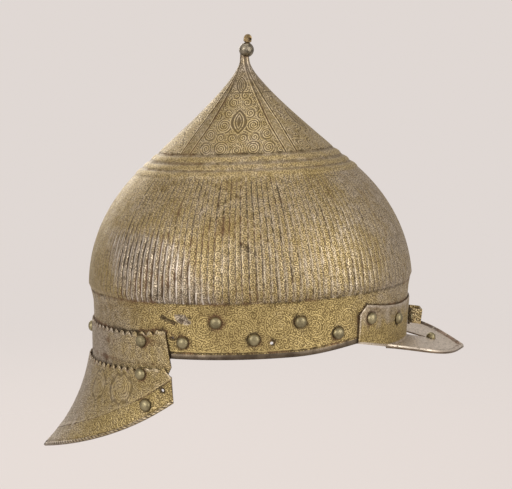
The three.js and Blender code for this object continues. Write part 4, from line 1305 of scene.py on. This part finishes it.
def make_skull():
    rings = Rings()
    fine = (np.arange(SKULL_COLUMNS) + 0.5) * 360 / SKULL_COLUMNS
    add_band(rings, fine)
    add_dome(rings, fine)
    add_crown(rings)
    add_hollow(rings)
    rings.close(RIM_SLOT)
    rings.values["along"] = [part - rings.crown_foot for part in rings.values["along"]]
    outside = [band_material(), dome_material(), ridge_material(), crown_material()]
    skull = rings.object("fluted_skull", [*outside, INSIDE, RIM], SKULL_ANGLE)
    through = band_seats + flange_seats + bracket_seats + upper_seats
    drill(skull, INSIDE, [(through, HOLE_RADIUS), (air_seats, AIR_HOLE_RADIUS)], reach=7)
    place_piece(skull, "helmet", "gilt_steel", "skull")


# Finial

FINIAL_LEAN = math.atan2(EYE_FORWARD, EYE_HEIGHT / 2 + BEAD_RADIUS)
ON_BEAD = Matrix.Translation(Vector(BEAD_CENTRE) * MM) @ Matrix.Rotation(FINIAL_LEAN, 4, "Y")
UPRIGHT = Matrix.Rotation(math.pi / 2, 4, "X")


def extruded(name, outline, depth, material, bevel=0.0):
    """A plate of an outline in X and Z, as thick as depth along Y, with rounded edges."""
    edit = bmesh.new()
    corners = [edit.verts.new((x * MM, -depth / 2 * MM, z * MM)) for x, z in outline]
    grown = bmesh.ops.extrude_face_region(edit, geom=[edit.faces.new(corners)])
    moved = [g for g in grown["geom"] if isinstance(g, bmesh.types.BMVert)]
    bmesh.ops.translate(edit, vec=(0, depth * MM, 0), verts=moved)
    bmesh.ops.recalc_face_normals(edit, faces=edit.faces)
    if bevel:
        pairs = [edge for edge in edit.edges if len(edge.link_faces) == 2]
        sharp = [edge for edge in pairs if edge.calc_face_angle(0) > math.radians(CORNER_ANGLE)]
        bmesh.ops.bevel(
            edit, geom=sharp, offset=bevel * MM, segments=3, profile=0.5, affect="EDGES")
    mesh = bpy.data.meshes.new(name)
    edit.to_mesh(mesh)
    edit.free()
    piece = add_object(name, mesh, [material])
    finish_normals(mesh, CORNER_ANGLE)
    return piece


def make_bead():
    start = math.asin((STEM_RADIUS + SEAT_GAP) / BEAD_RADIUS)
    angles = np.linspace(start, math.pi - start, 25)
    profile = [(BEAD_RADIUS * math.sin(a), -BEAD_RADIUS * math.cos(a)) for a in angles]
    bead = turned("finial_bead_polished", [*profile, profile[0]], BEAD_SIDES, DARK_STEEL)
    bead.data.transform(ON_BEAD)
    place_piece(bead, "helmet", "dark_steel", "finial_bead")


def make_spindle():
    """The eye, the collar under it and the stem that holds the bead and is riveted inside."""
    foot, half = BEAD_RADIUS - SEAT_GAP, EYE_WIDTH / 2
    low, shoulder = foot + 2 * SEAT_GAP, foot + EYE_HEIGHT - half
    arc = [(x, shoulder + z) for x, z in half_arc(half, steps=18)]
    eye = extruded("finial_spindle_worn", [(-half, low), (half, low), *arc], EYE_DEPTH,
                   BRIGHT_BRASS, 0.7)
    hole = turned("hole", rod_profile(EYE_HOLE_RADIUS, 4), FINIAL_SIDES, DARK_STEEL)
    hole.data.transform(shift_by(0, 0, shoulder - EYE_HOLE_RADIUS / 2)
                        @ Matrix.Rotation(EYE_HOLE_TURN, 4, "Z") @ UPRIGHT)
    combine(eye, hole, "DIFFERENCE")
    collar = [(0, -BEAD_RADIUS), (STEM_RADIUS, -BEAD_RADIUS), (STEM_RADIUS, foot),
              (2.1, foot + 0.35), (2.3, foot + 0.8), (1.7, foot + 1.4), (STEM_RADIUS, foot + 1.5),
              (0, foot + 1.5)]
    combine(eye, turned("collar", collar, FINIAL_SIDES, BRIGHT_BRASS), "UNION")
    eye.data.transform(ON_BEAD)
    low, top = HOLLOW_TOP - SEAT_GAP, APEX + 2 * SEAT_GAP
    head = low - STEM_HEAD_HEIGHT
    stem = [(0, head), (STEM_HEAD_RADIUS * 0.8, head), (STEM_HEAD_RADIUS, low - 0.5),
            (STEM_HEAD_RADIUS, low), (STEM_RADIUS, low), (STEM_RADIUS, top), (0, top)]
    stem = turned("stem", stem, FINIAL_SIDES, BRIGHT_BRASS)
    stem.data.transform(shift_by(float(crown_lean((HOLLOW_TOP + APEX) / 2)), 0, 0))
    combine(eye, stem, "UNION")
    finish_normals(eye.data, CORNER_ANGLE)
    place_piece(eye, "helmet", "dark_steel", "finial_spindle")


# Peak

def flange_top(bearing):
    side = np.abs(bearing)
    rise = clamp01(way(side, FLANGE_LOW, FLANGE_CHAMFER))
    chamfer = np.maximum(0, way(side, FLANGE_CHAMFER, FLANGE_HALF))
    return FLANGE_TOP + FLANGE_TOP_RISE * rise ** 1.6 - FLANGE_CHAMFER_DROP * chamfer


def flange_foot(bearing):
    side = np.abs(bearing) / PLATE_ROOT
    past = clamp01(way(np.abs(bearing), PLATE_ROOT, FLANGE_HALF))
    beside = lerp(PLATE_ROOT_RISE, FLANGE_END_FOOT - FLANGE_FOOT, past)
    return FLANGE_FOOT + np.where(side <= 1, PLATE_ROOT_RISE * side * side, beside)


def plate_root(share):
    bearing = np.clip(share, -1, 1) * PLATE_ROOT
    return flange_surface(bearing, flange_foot(bearing))


PEAK_ROOT_X = float(plate_root(np.float64(0))[0])
PEAK_TIP_X = PEAK_ROOT_X + PEAK_REACH
PEAK_TIP_Z = FLANGE_FOOT - PEAK_DROP

# Shares down the flange, and along the plate to its border and then across that, with the rise of
# the raised border
FLANGE_ROWS = (0, 0.02, 0.045, *np.linspace(0.08, 1, 24))
PLATE_ROWS = ((0.04, 0), (0.12, 0), *((r, 0) for r in np.linspace(0.2, 1, 16)), (1.08, 0.1),
              (1.25, 0.55), (1.5, 0.9), (1.75, 0.85), (1.92, 0.55), (2.0, 0.2))
PLATE_ROWS_TOP = 0.9


def peak_edge(share):
    corner = plate_root(np.float64(1))
    reach = PEAK_TIP_X - corner[0]
    pulls = [(corner[0] + reach * along, -corner[1] * aside, 0)
             for along, aside in ((0, 1), (0.65, 1.34), (0.77, 0.82))]
    curve = bezier((*pulls, (PEAK_TIP_X, 0, 0)), 1 - np.abs(share))
    along = clamp01(way(curve[..., 0], corner[0], PEAK_TIP_X))
    curve[..., 2] = lerp(corner[2], PEAK_TIP_Z, along ** 1.8)
    curve[..., 1] *= np.where(share < 0, 1, -1)
    return curve


def peak_columns():
    ends, chamfer = FLANGE_HALF / PLATE_ROOT, FLANGE_CHAMFER / PLATE_ROOT
    outer = np.concatenate([np.linspace(ends, chamfer, 9)[:-1], np.linspace(chamfer, 1, 22)[:-1]])
    middle = np.sin(np.linspace(-1, 1, 181) * math.pi / 2)
    return np.concatenate([-outer, middle, outer[::-1]])


def peak_rows(share, inset):
    """Rows of points, and for each its share of flange or minus its distance from the edge."""
    bearing = share * PLATE_ROOT
    rows, flange_part = [], []
    top, foot = flange_top(bearing), flange_foot(bearing)
    on_plate = np.abs(share) < 1
    for row in FLANGE_ROWS:
        height = lerp(top, foot, row)
        ease = 0 if inset else 0.35 * bell(row / 0.03, 1)
        points = on_band(flange_radius(height) - inset - ease, bearing, height)
        if row == 1:
            points[..., 2] -= np.where(on_plate, inset, 0)
        rows.append(points)
        flange_part.append(np.full(share.shape, 1.0 if row < 0.93 else 0.3))
    end = rows[-1]
    inner = np.clip(share, -1, 1)
    root, edge = plate_root(inner), peak_edge(inner)
    span = np.linalg.norm(edge - root, axis=-1)
    border = np.minimum(0.5, PEAK_EDGE_WIDTH / np.maximum(span, 1e-6))
    for reach, rise in PLATE_ROWS:
        place = np.where(reach <= 1, reach * (1 - border), 1 - border + (reach - 1) * border)
        spot = root + (edge - root) * place[:, None]
        if inset:
            spot[..., 2] -= inset * (0.55 if reach == 2.0 else 1)
        else:
            spot[..., 2] += rise * PEAK_EDGE_RISE / PLATE_ROWS_TOP
        rows.append(np.where(on_plate[:, None], spot, end))
        flange_part.append(-span * (1 - place))
    return np.array(rows), np.array(flange_part)


def stud_seat():
    share = (SLOT_LENGTH + STUD_PAST_SLOT) / PEAK_REACH
    place = (PEAK_ROOT_X + PEAK_REACH * share, 0, FLANGE_FOOT - PEAK_DROP * share)
    return np.array(place), unit(np.array([PEAK_DROP, 0, PEAK_REACH]))


def make_peak():
    share = peak_columns()
    outside, flange_part = peak_rows(share, 0)
    from_edge = np.where(flange_part > 0, 99, -flange_part)
    past_bend = np.arange(len(outside))[:, None] - len(FLANGE_ROWS)
    # Dirt and painted contact shadow round the rivets, a darker bend where flange meets plate, and
    # painted shade on the far border's inner slope.
    grime = most(grime_round(outside, flange_seats, HEAD_RADIUS), 0.45 * bell(past_bend, 1.2),
                 np.where(past_bend > 2, 1.2 * bell(from_edge - 2.5, 1.6), 0))
    from_end = (FLANGE_HALF - np.abs(share) * PLATE_ROOT) * 2
    from_top = np.minimum(outside[0, :, 2] - outside[..., 2], from_end)
    worn = 0.9 * bell(from_top - 0.8, 0.5) * (flange_part == 1) + 0.2 * bell(from_edge - 0.9, 0.6)
    values = {"grime": grime, "flange": np.maximum(flange_part, 0), "worn": worn}
    peak = plate("peak_plate", outside, peak_rows(share, PLATE_SHEET)[0], values, peak_material())
    root, end = PEAK_ROOT_X + SEAT_GAP, PEAK_ROOT_X + SLOT_LENGTH - SLOT_END_HALF
    arc = [(end + x, z) for x, z in half_arc(SLOT_END_HALF, steps=12, start=-math.pi / 2)]
    outline = [(root, -SLOT_ROOT_HALF), *arc, (root, SLOT_ROOT_HALF)]
    slot = extruded("slot", outline, 2 * PEAK_DROP, EDGE_AND_OUTLINE_SHADE)
    slot.data.transform(shift_by(0, 0, FLANGE_FOOT - PEAK_DROP / 2) @ UPRIGHT)
    combine(peak, slot, "DIFFERENCE")
    drill(peak, EDGE_AND_OUTLINE_SHADE, [(flange_seats + bracket_seats + [stud_seat()], HOLE_RADIUS)], reach=5)
    place_piece(peak, "helmet", "grey_steel", "peak")


# Nasal bracket

def make_bracket():
    radius = float(flange_radius(BRACKET_HEIGHT))
    foot_end = BRACKET_HALF + BRACKET_FOOT
    front = BRACKET_GAP + CHANNEL_DEPTH
    at_inner, at_cheek, at_end = (
        BRACKET_GAP - radius * (1 - math.sqrt(1 - (y / (SIDE_SHARE * radius)) ** 2))
        for y in (CHANNEL_HALF, BRACKET_HALF, foot_end))
    half = [(at_inner, CHANNEL_HALF), (at_end, foot_end), (at_end + BRACKET_SHEET, foot_end),
            (at_cheek + BRACKET_SHEET, BRACKET_HALF), (front + BRACKET_SHEET, BRACKET_HALF)]
    outline = [*half, *((x, -y) for x, y in half[::-1]),
               (front, -CHANNEL_HALF), (front, CHANNEL_HALF)]
    material = bracket_material()
    bracket = extruded("nasal_bracket_etched", outline, BRACKET_LENGTH, material, 0.3)
    foot = flange_surface(np.float64(0), np.float64(BRACKET_HEIGHT))
    lean = Matrix.Rotation(BRACKET_LEAN, 4, "Y")
    bracket.data.transform(shift_by(foot[0], 0, BRACKET_HEIGHT) @ lean @ UPRIGHT)
    drill(bracket, material, [(bracket_seats, HOLE_RADIUS)], reach=4)
    place_piece(bracket, "helmet", "gilt_steel", "nasal_bracket")


# Neck lames

# A tooth's outline: how deep the notch is at shares of the way along
TOOTH_AT = (0, 0.1, 0.3, 0.5, 0.62, 0.75, 0.9, 1)
TOOTH_CUT = (0, 0, 0.25, 0.8, 1, 0.85, 0.2, 0)
TOP_ROWS = (0, 0.3, 0.7)

# The tail's roped edge: distance from the edge and how proud it stands
TAIL_EDGE_ROWS = ((3.0, 0.0), (2.6, -0.12), (2.2, 0.0), (1.8, 0.32), (1.2, 0.5), (0.6, 0.46),
                  (0.2, 0.25), (0.0, 0.0))
ROPE_PITCH = 3.4
NO_BORDER = 40.0


def toothed(length, front_share=1.0):
    """Columns from -1 to 1 and the depth of the notches at each, 0 on the tips and 1 at most."""
    teeth = round(length / TOOTH_PITCH)
    columns = np.linspace(-1, 1, teeth * COLUMNS_PER_TOOTH + 1)
    cut_in = np.interp(((columns + 1) / 2 * teeth) % 1, TOOTH_AT, TOOTH_CUT)
    shallow = lerp(1, front_share, smoothstep(np.abs(columns), 0.76, 0.86))
    return columns, cut_in * shallow * smoothstep(1 - np.abs(columns), 0.01, 0.05)


def tooth_ease(down, notch):
    """How far the rounded top edge lies back at a distance down from it."""
    return 0.45 * bell(down / 0.5, 1) + 0.35 * notch * bell(down / 3, 1)


def lame_end(height):
    shown, lapped = way(height, LOWER_TOP, UPPER_TOP), way(height, LOWER_TOP, UPPER_BOTTOM)
    return np.where(shown > 0, lerp(LAME_EDGE_END, LAME_TOP_END, shown),
                    lerp(LAME_EDGE_END, LAME_HIDDEN_END, lapped))


def upper_top(share):
    side = np.abs(share)
    return (UPPER_TOP + UPPER_CORNER_RISE * clamp01(way(side, 0.67, 1)) ** 2
            - UPPER_CORNER_DROP * smoothstep(side, 0.97, 1))


def make_upper_lame():
    half = math.radians(180 - LAME_TOP_END) * UPPER_BOTTOM_RADIUS * LAME_ARC_SHARE
    columns, notch = toothed(2 * half)
    top = upper_top(columns)
    down_rows = np.array([*TOP_ROWS, *np.linspace(1.2, UPPER_DEPTH, 44)])

    def row(down, inset):
        cutting = TOOTH_DEPTH * notch * clamp01(1 - down / 7)
        height = lerp(top, UPPER_BOTTOM, down / UPPER_DEPTH) - cutting
        slant = math.degrees(TOOTH_SLANT / UPPER_BOTTOM_RADIUS) * notch * clamp01(1 - down / 5)
        bearing = 180 - columns * (180 - lame_end(height)) + slant * (1 - columns ** 8)
        ease = 0 if inset else tooth_ease(down, notch)
        return plan(upper_radius(height) - inset - ease, bearing, height)

    outside, inside = (np.array([row(down, inset) for down in down_rows])
                       for inset in (0, PLATE_SHEET))
    fall = down_rows[:, None]
    # Dirt and painted contact shadow round the rivets, painted shade in the notches between the
    # teeth, and painted shade along the lower lame's top edge.
    grime = most(grime_round(outside, upper_seats, HEAD_RADIUS), 0.9 * notch * bell(fall / 2.2, 1),
                 0.5 * bell(outside[..., 2] - LOWER_TOP - 1, 2.0))
    values = {"across": columns * half, "fall": fall, "grime": grime, "border": NO_BORDER}
    material = lame_material("gilt_upper_lame", 0.3, 0.75, dark_smears=UPPER_SMEARS)
    lame = plate("upper_lame_etched", outside, inside, values, material)
    holes = [(upper_seats, HOLE_RADIUS), (pivot_seats, HOLE_RADIUS + PIVOT_PLAY)]
    drill(lame, EDGE_AND_OUTLINE_SHADE, holes, reach=4)
    place_piece(lame, "helmet", "gilt_steel", "upper_neck_lame")


def make_lower_lame():
    length = 2 * math.radians(180 - LOWER_TOP_END) * LOWER_TOP_RADIUS * LAME_ARC_SHARE
    columns, notch = toothed(length, SHALLOW_TOOTH_SHARE)
    depth = lower_top(columns)[:, 2] - tail_edge(columns)[:, 2]
    slope = np.linalg.norm(lower_surface(columns, 1.0) - lower_surface(columns, 0.0), axis=-1)
    fall_rows = [down / depth for down in (*TOP_ROWS, *np.linspace(1.2, 10, 12))]
    fall_rows += [lerp(fall_rows[-1], 1 - 3.6 / slope, t) for t in np.linspace(0, 1, 46)[1:]]
    twist = 0.16 * np.sin(columns * length / 2 * 2 * math.pi / ROPE_PITCH)

    def offset(share, fall, distance):
        normal = normals_of(lower_surface, share, fall)
        return lower_surface(share, fall) + normal * np.asarray(distance)[..., None]

    def rows(inset):
        out = []
        for fall in fall_rows:
            down = fall * depth
            place = fall + TOOTH_DEPTH * notch * clamp01(1 - down / 7) / depth
            slant = TOOTH_SLANT / length * 2 * notch * clamp01(1 - down / 5) * (1 - columns ** 8)
            swell = smoothstep((1 - place) * slope, TAIL_BORDER + 1, TAIL_BORDER - 1)
            swell = TAIL_BORDER_PROUD * swell - tooth_ease(down, notch)
            out.append(offset(np.clip(columns - slant, -1, 1), place, -inset if inset else swell))
        for down, proud in TAIL_EDGE_ROWS:
            roped = twist * np.sin(math.pi * clamp01(down / 2.4)) if proud > 0.2 else 0
            out.append(offset(columns, 1 - down / slope, -inset if inset else proud + roped))
        return np.array(out)

    outside = rows(0)
    steps = np.linalg.norm(np.diff(outside, axis=0), axis=-1)
    fall = np.concatenate([np.zeros((1, len(columns))), np.cumsum(steps, 0)])
    # Dirt and painted contact shadow round the rivets and the hole, and painted shade in the
    # notches between the teeth.
    grime = most(grime_round(outside, pivot_seats + border_seats, HEAD_RADIUS),
                 grime_round(outside, lower_hole_seats, AIR_HOLE_RADIUS + 0.4),
                 0.95 * notch * bell(fall / 2.4, 1))
    values = {"across": columns * length / 2, "fall": fall, "grime": grime,
              "border": np.linalg.norm(outside - outside[-1], axis=-1)}
    material = lame_material("gilt_lower_lame", 0.05, 0.55, MEDALLIONS)
    lame = plate("lower_lame_etched", outside, rows(PLATE_SHEET), values, material)
    holes = [(pivot_seats + border_seats, HOLE_RADIUS), (lower_hole_seats, AIR_HOLE_RADIUS)]
    drill(lame, EDGE_AND_OUTLINE_SHADE, holes, reach=4)
    place_piece(lame, "lower_lame", "gilt_steel", "lower_neck_lame")


# Lining

# The strip's outline: how far inward, and height
LINING_OUTLINE = (
    (0.3, LINING_LOW), (0.0, LINING_LOW + 0.5), (0, 20), (0, 24), (0, BAND_TOP - 0.5),
    (0.3, BAND_TOP), (1.7, BAND_TOP), (1.95, BAND_TOP - 0.5), (1.75, BAND_TOP - 2), (1.95, 25),
    (1.95, 22), (1.75, LINING_LOW + 2), (1.95, LINING_LOW + 0.5), (1.7, LINING_LOW))
LINING_COLUMNS = 360
STITCH_INSET = 1.6
STITCH_DEGREES = 2.0
STITCH_LENGTH = 2.6
STITCH_SIDES = 6

# A stitch's rings: shares of half its length, and radii
STITCH_AT = np.array([-1, -0.8, 0, 0.8, 1.0])
STITCH_RADII = np.array([0.15, 0.8, 1.0, 0.8, 0.15])[:, None, None] * 0.32


def lining_ring(inward, bearing, height):
    return on_band(band_radius(height) - WALL - SEAT_GAP - inward, bearing, height)


def make_lining():
    at = np.linspace(0, 360, LINING_COLUMNS, endpoint=False)
    wave = 0.25 * np.sin(np.radians(at * 23)) + 0.2 * np.sin(np.radians(at * 9 + 40))
    shape = Shape()
    rings = []
    for inward, height in LINING_OUTLINE:
        level = height + (wave * 0.4 if LINING_LOW + 0.5 < height < BAND_TOP - 1 else 0)
        rings.append(shape.add(lining_ring(inward, at, level)))
    shape.tube([*rings, rings[0]])
    lining = shape.object("lining_strip_sewn", [LEATHER], LINING_ANGLE)
    through = [seat for seat in band_seats + flange_seats if seat[0][2] > LINING_LOW]
    drill(lining, LEATHER, [(through, HOLE_RADIUS)], reach=6)
    place_piece(lining, "helmet", "leather", "lining_strip")
    stitches = Shape()
    for height in (LINING_LOW + STITCH_INSET, BAND_TOP - STITCH_INSET):
        for bearing in np.arange(0, 360, STITCH_DEGREES):
            add_stitch(stitches, bearing, height)
    thread = stitches.object("lining_stitches", [thread_material()], LINING_ANGLE)
    place_piece(thread, "helmet", "leather")


def add_stitch(shape, bearing, height):
    """A short thread with round ends, half sunk in the strip's inner face."""
    spread = np.degrees(STITCH_LENGTH / 2 / band_radius(height)) * STITCH_AT
    middle = lining_ring(1.75, bearing + spread, height + 0 * spread)
    inward = unit(middle * np.array([-1, -1, 0]))[:, None]
    angle = np.linspace(0, 2 * math.pi, STITCH_SIDES, endpoint=False)[None, :, None]
    round_it = inward * np.cos(angle) + np.array([0, 0, 1.0]) * np.sin(angle)
    numbers = shape.add(middle[:, None] + round_it * STITCH_RADII)
    shape.tube(numbers)
    shape.fill([numbers[0][::-1], numbers[-1]])


# Fastenings

def rivet_profile(head, height, grip):
    closed = -grip - 2 * SEAT_GAP
    end = closed - CLOSED_LENGTH
    angles = np.linspace(0, math.pi / 2, 10)[1:-1]
    dome = [(head * math.cos(a) ** 0.82, height * math.sin(a)) for a in angles]
    return [(0, end), (CLOSED_RADIUS * 0.7, end), (CLOSED_RADIUS, closed - CLOSED_LENGTH * 0.55),
            (CLOSED_RADIUS, closed - 0.1), (CLOSED_RADIUS * 0.93, closed), (SHANK_RADIUS, closed),
            (SHANK_RADIUS, 0), (head * 0.985, 0), (head, height * 0.06), *dome, (0, height)]


ROVE_PROFILE = (
    (HOLE_RADIUS, -ROVE_THICKNESS), (ROVE_RADIUS - 0.2, -ROVE_THICKNESS),
    (ROVE_RADIUS, -ROVE_THICKNESS + 0.2), (ROVE_RADIUS, -0.15), (ROVE_RADIUS - 0.15, 0),
    (HOLE_RADIUS, 0), (HOLE_RADIUS, -ROVE_THICKNESS))


def make_rivet(node, seat, stack, body="helmet", rove=True, head=(HEAD_RADIUS, HEAD_HEIGHT),
               play=SEAT_GAP):
    place, normal = seat

    def stand(piece, lift, slot_name, replaced):
        to_seat = shift_by(*(place + normal * lift)) @ turn_to(normal).to_4x4()
        piece.data.transform(to_seat)
        place_piece(piece, body, slot_name, replaced)

    profile = rivet_profile(*head, stack + (play + ROVE_THICKNESS if rove else 0))
    rivet = turned(node + "_forged", profile, RIVET_SIDES, BRASS, SHEET_ANGLE, RIVET_WOBBLE)
    stand(rivet, SEAT_GAP, "brass", node)
    if rove:
        washer = turned(node + "_rove_punched", ROVE_PROFILE, ROVE_SIDES, GREY_STEEL,
                        CORNER_ANGLE, ROVE_WOBBLE)
        stand(washer, -(stack + play), "grey_steel", node + "_rove")


# How far the CAD skull's faceted inner side stands in
CAD_SIDES = 44
FACET_DEPTH = BAND_TOP_RADIUS * (1 - math.cos(math.pi / CAD_SIDES))


def through_wall(seat, radius_of, bearing, height):
    """The thickness under a seat, from its sheet's face to the skull's inner side."""
    _, wall_normal = seat_on(band_surface, bearing, height)
    slant = math.tan(math.acos(min(1.0, float(np.dot(seat[1], wall_normal)))))
    gap = float(radius_of(height)) - float(band_radius(height))
    return gap + WALL + FACET_DEPTH + ROVE_RADIUS * slant


def lined(height):
    return SEAT_GAP + LINING_THICKNESS if height > LINING_LOW else 0


def make_fastenings():
    sides = ("right", "left")
    names = [f"{side}_{i}" for i in range(1, len(BAND_RIVETS) + 1) for side in sides]
    for name, (_, height), seat in zip(names, band_places, band_seats):
        make_rivet(f"band_rivet_{name}", seat, WALL + lined(height))
    for name, place, seat in zip(names, flange_places, flange_seats):
        stack = through_wall(seat, flange_radius, *place) + lined(place[1])
        make_rivet(f"peak_rivet_{name}", seat, stack)
    for name, place, seat in zip((*sides, "back"), upper_places, upper_seats):
        stack = through_wall(seat, upper_radius, *place)
        make_rivet(f"upper_lame_rivet_{name}", seat, stack, rove=False)
    for i, side in enumerate(sides):
        place = bracket_place((1, -1)[i])
        stack = through_wall(seat_on(flange_surface, *place), flange_radius, *place)
        make_rivet(f"bracket_rivet_{side}", bracket_seats[i], stack + BRACKET_GAP + BRACKET_SHEET,
                   rove=False, head=(SMALL_HEAD_RADIUS, SMALL_HEAD_HEIGHT))
        make_rivet(f"neck_pivot_rivet_{side}", pivot_seats[i], 2 * PLATE_SHEET + RUNNING_GAP,
                   "lower_lame", play=SEAT_GAP + PIVOT_PLAY)
        make_rivet(f"tail_border_rivet_{side}", border_seats[i], PLATE_SHEET, "lower_lame",
                   rove=False)
    make_rivet("peak_stud", stud_seat(), PLATE_SHEET, rove=False, head=(STUD_RADIUS, STUD_HEIGHT))


# Stage, in metres where nothing else is said

BACKDROP = (0.745, 0.686, 0.656, 1)
FLOOR_HEIGHT = -0.33
FLOOR_RINGS_MM = (0, 400, 1100, 2600)
FLOOR_FADE_MM = (500, 2200)
FLOOR_GLOW = 0.72
SKY_BRIGHTEST = (-0.1, -0.75, 0.5)
SKY_FROM, SKY_TO = 0.76, 1.03
LIGHT_COLOUR = (1.0, 0.965, 0.92)

# Name, place, what it points at, size and power
LIGHTS = (
    ("key", (-1.25, -1.55, 0.75), (0, 0, 0.06), (0.8, 0.8), 19.5),
    ("fill", (1.7, -1.2, 0.6), (0, 0, 0.05), (1.4, 1.4), 23.5),
    ("top", (0.1, 0.3, 1.8), (0, 0, 0.1), (1.2, 1.2), 6),
    ("back", (-0.6, 1.7, 0.7), (0, 0, 0.05), (1.3, 1.0), 12),
)
CAMERA_TARGET = Vector((0.005, 0, 0.064))
CAMERA_DISTANCE = 1.05
CAMERA_PITCH = math.radians(7.05)
CAMERA_ROLL = math.radians(2.0)
CAMERA_LENS = 100.65
CAMERA_SENSOR = 36


def make_floor():
    """A pale round floor that fades into the backdrop at its edge and is clear from below."""
    shape = Shape()
    shape.tube(shape.add(revolve([(radius, 0) for radius in FLOOR_RINGS_MM], 64)))
    floor = shape.object("floor", [floor_material()])
    if floor.data.polygons[0].normal.z < 0:
        floor.data.flip_normals()
    floor.location.z = FLOOR_HEIGHT


def floor_material():
    paint = Paint("pale_floor")

    def shader(kind, **colour):
        return paint.node("ShaderNode" + kind, colour).outputs[0]

    def mixed(share, first, second):
        return paint.node("ShaderNodeMixShader", {0: share, 1: first, 2: second})

    diffuse, glow = (shader(kind, Color=BACKDROP) for kind in ("BsdfDiffuse", "Emission"))
    lit = mixed(FLOOR_GLOW, diffuse, glow).outputs[0]
    under = Field(paint, paint.node("ShaderNodeNewGeometry").outputs["Backfacing"])
    fade = paint.polar(paint.x, paint.y)[0].step(*FLOOR_FADE_MM).at_least(under)
    return paint.output(mixed(fade, lit, shader("BsdfTransparent")))


def make_world():
    """A backdrop of one colour to the camera, a little brighter from one side as a light."""
    world = bpy.data.worlds.new("studio")
    bpy.context.scene.world = world
    nodes = Nodes(world)
    place = nodes.node("ShaderNodeTexCoord").outputs["Generated"]
    towards = {0: place, 1: Vector(SKY_BRIGHTEST).normalized()}
    towards = nodes.node("ShaderNodeVectorMath", towards, operation="DOT_PRODUCT").outputs["Value"]
    shade = nodes.node("ShaderNodeMapRange", {
        "Value": towards, "From Min": -0.5, "From Max": 0.9, "To Min": SKY_FROM, "To Max": SKY_TO})
    seen = nodes.node("ShaderNodeLightPath").outputs["Is Camera Ray"]
    strength = nodes.node("ShaderNodeMix", {"Factor": seen, "A": shade.outputs[0], "B": 1.0})
    back = nodes.node("ShaderNodeBackground", {
        "Color": BACKDROP, "Strength": strength.outputs["Result"]})
    nodes.node("ShaderNodeOutputWorld", {0: back.outputs[0]})


def make_light(name, place, target, size, power):
    light = bpy.data.lights.new(name, "AREA")
    light.shape = "RECTANGLE"
    light.size, light.size_y = size
    light.energy = power
    light.color = LIGHT_COLOUR
    lamp = add_object(name, light)
    lamp.location = place
    lamp.rotation_euler = (Vector(target) - Vector(place)).to_track_quat("-Z", "Y").to_euler()
    lamp.visible_camera = False


def make_camera():
    data = bpy.data.cameras.new("photo_camera")
    data.lens, data.sensor_width = CAMERA_LENS, CAMERA_SENSOR
    camera = add_object("photo_camera", data)
    back = Vector((0, -math.cos(CAMERA_PITCH), math.sin(CAMERA_PITCH)))
    pitch = Matrix.Rotation(math.pi / 2 - CAMERA_PITCH, 4, "X")
    turn = pitch @ Matrix.Rotation(-CAMERA_ROLL, 4, "Z")
    camera.matrix_world = Matrix.Translation(CAMERA_TARGET + back * CAMERA_DISTANCE) @ turn
    bpy.context.scene.camera = camera


make_camera()
make_world()
make_floor()
for light in LIGHTS:
    make_light(*light)
make_skull()
make_bead()
make_spindle()
make_peak()
make_bracket()
make_upper_lame()
make_lower_lame()
make_lining()
make_fastenings()
bpy.context.scene.view_settings.view_transform = "Standard"
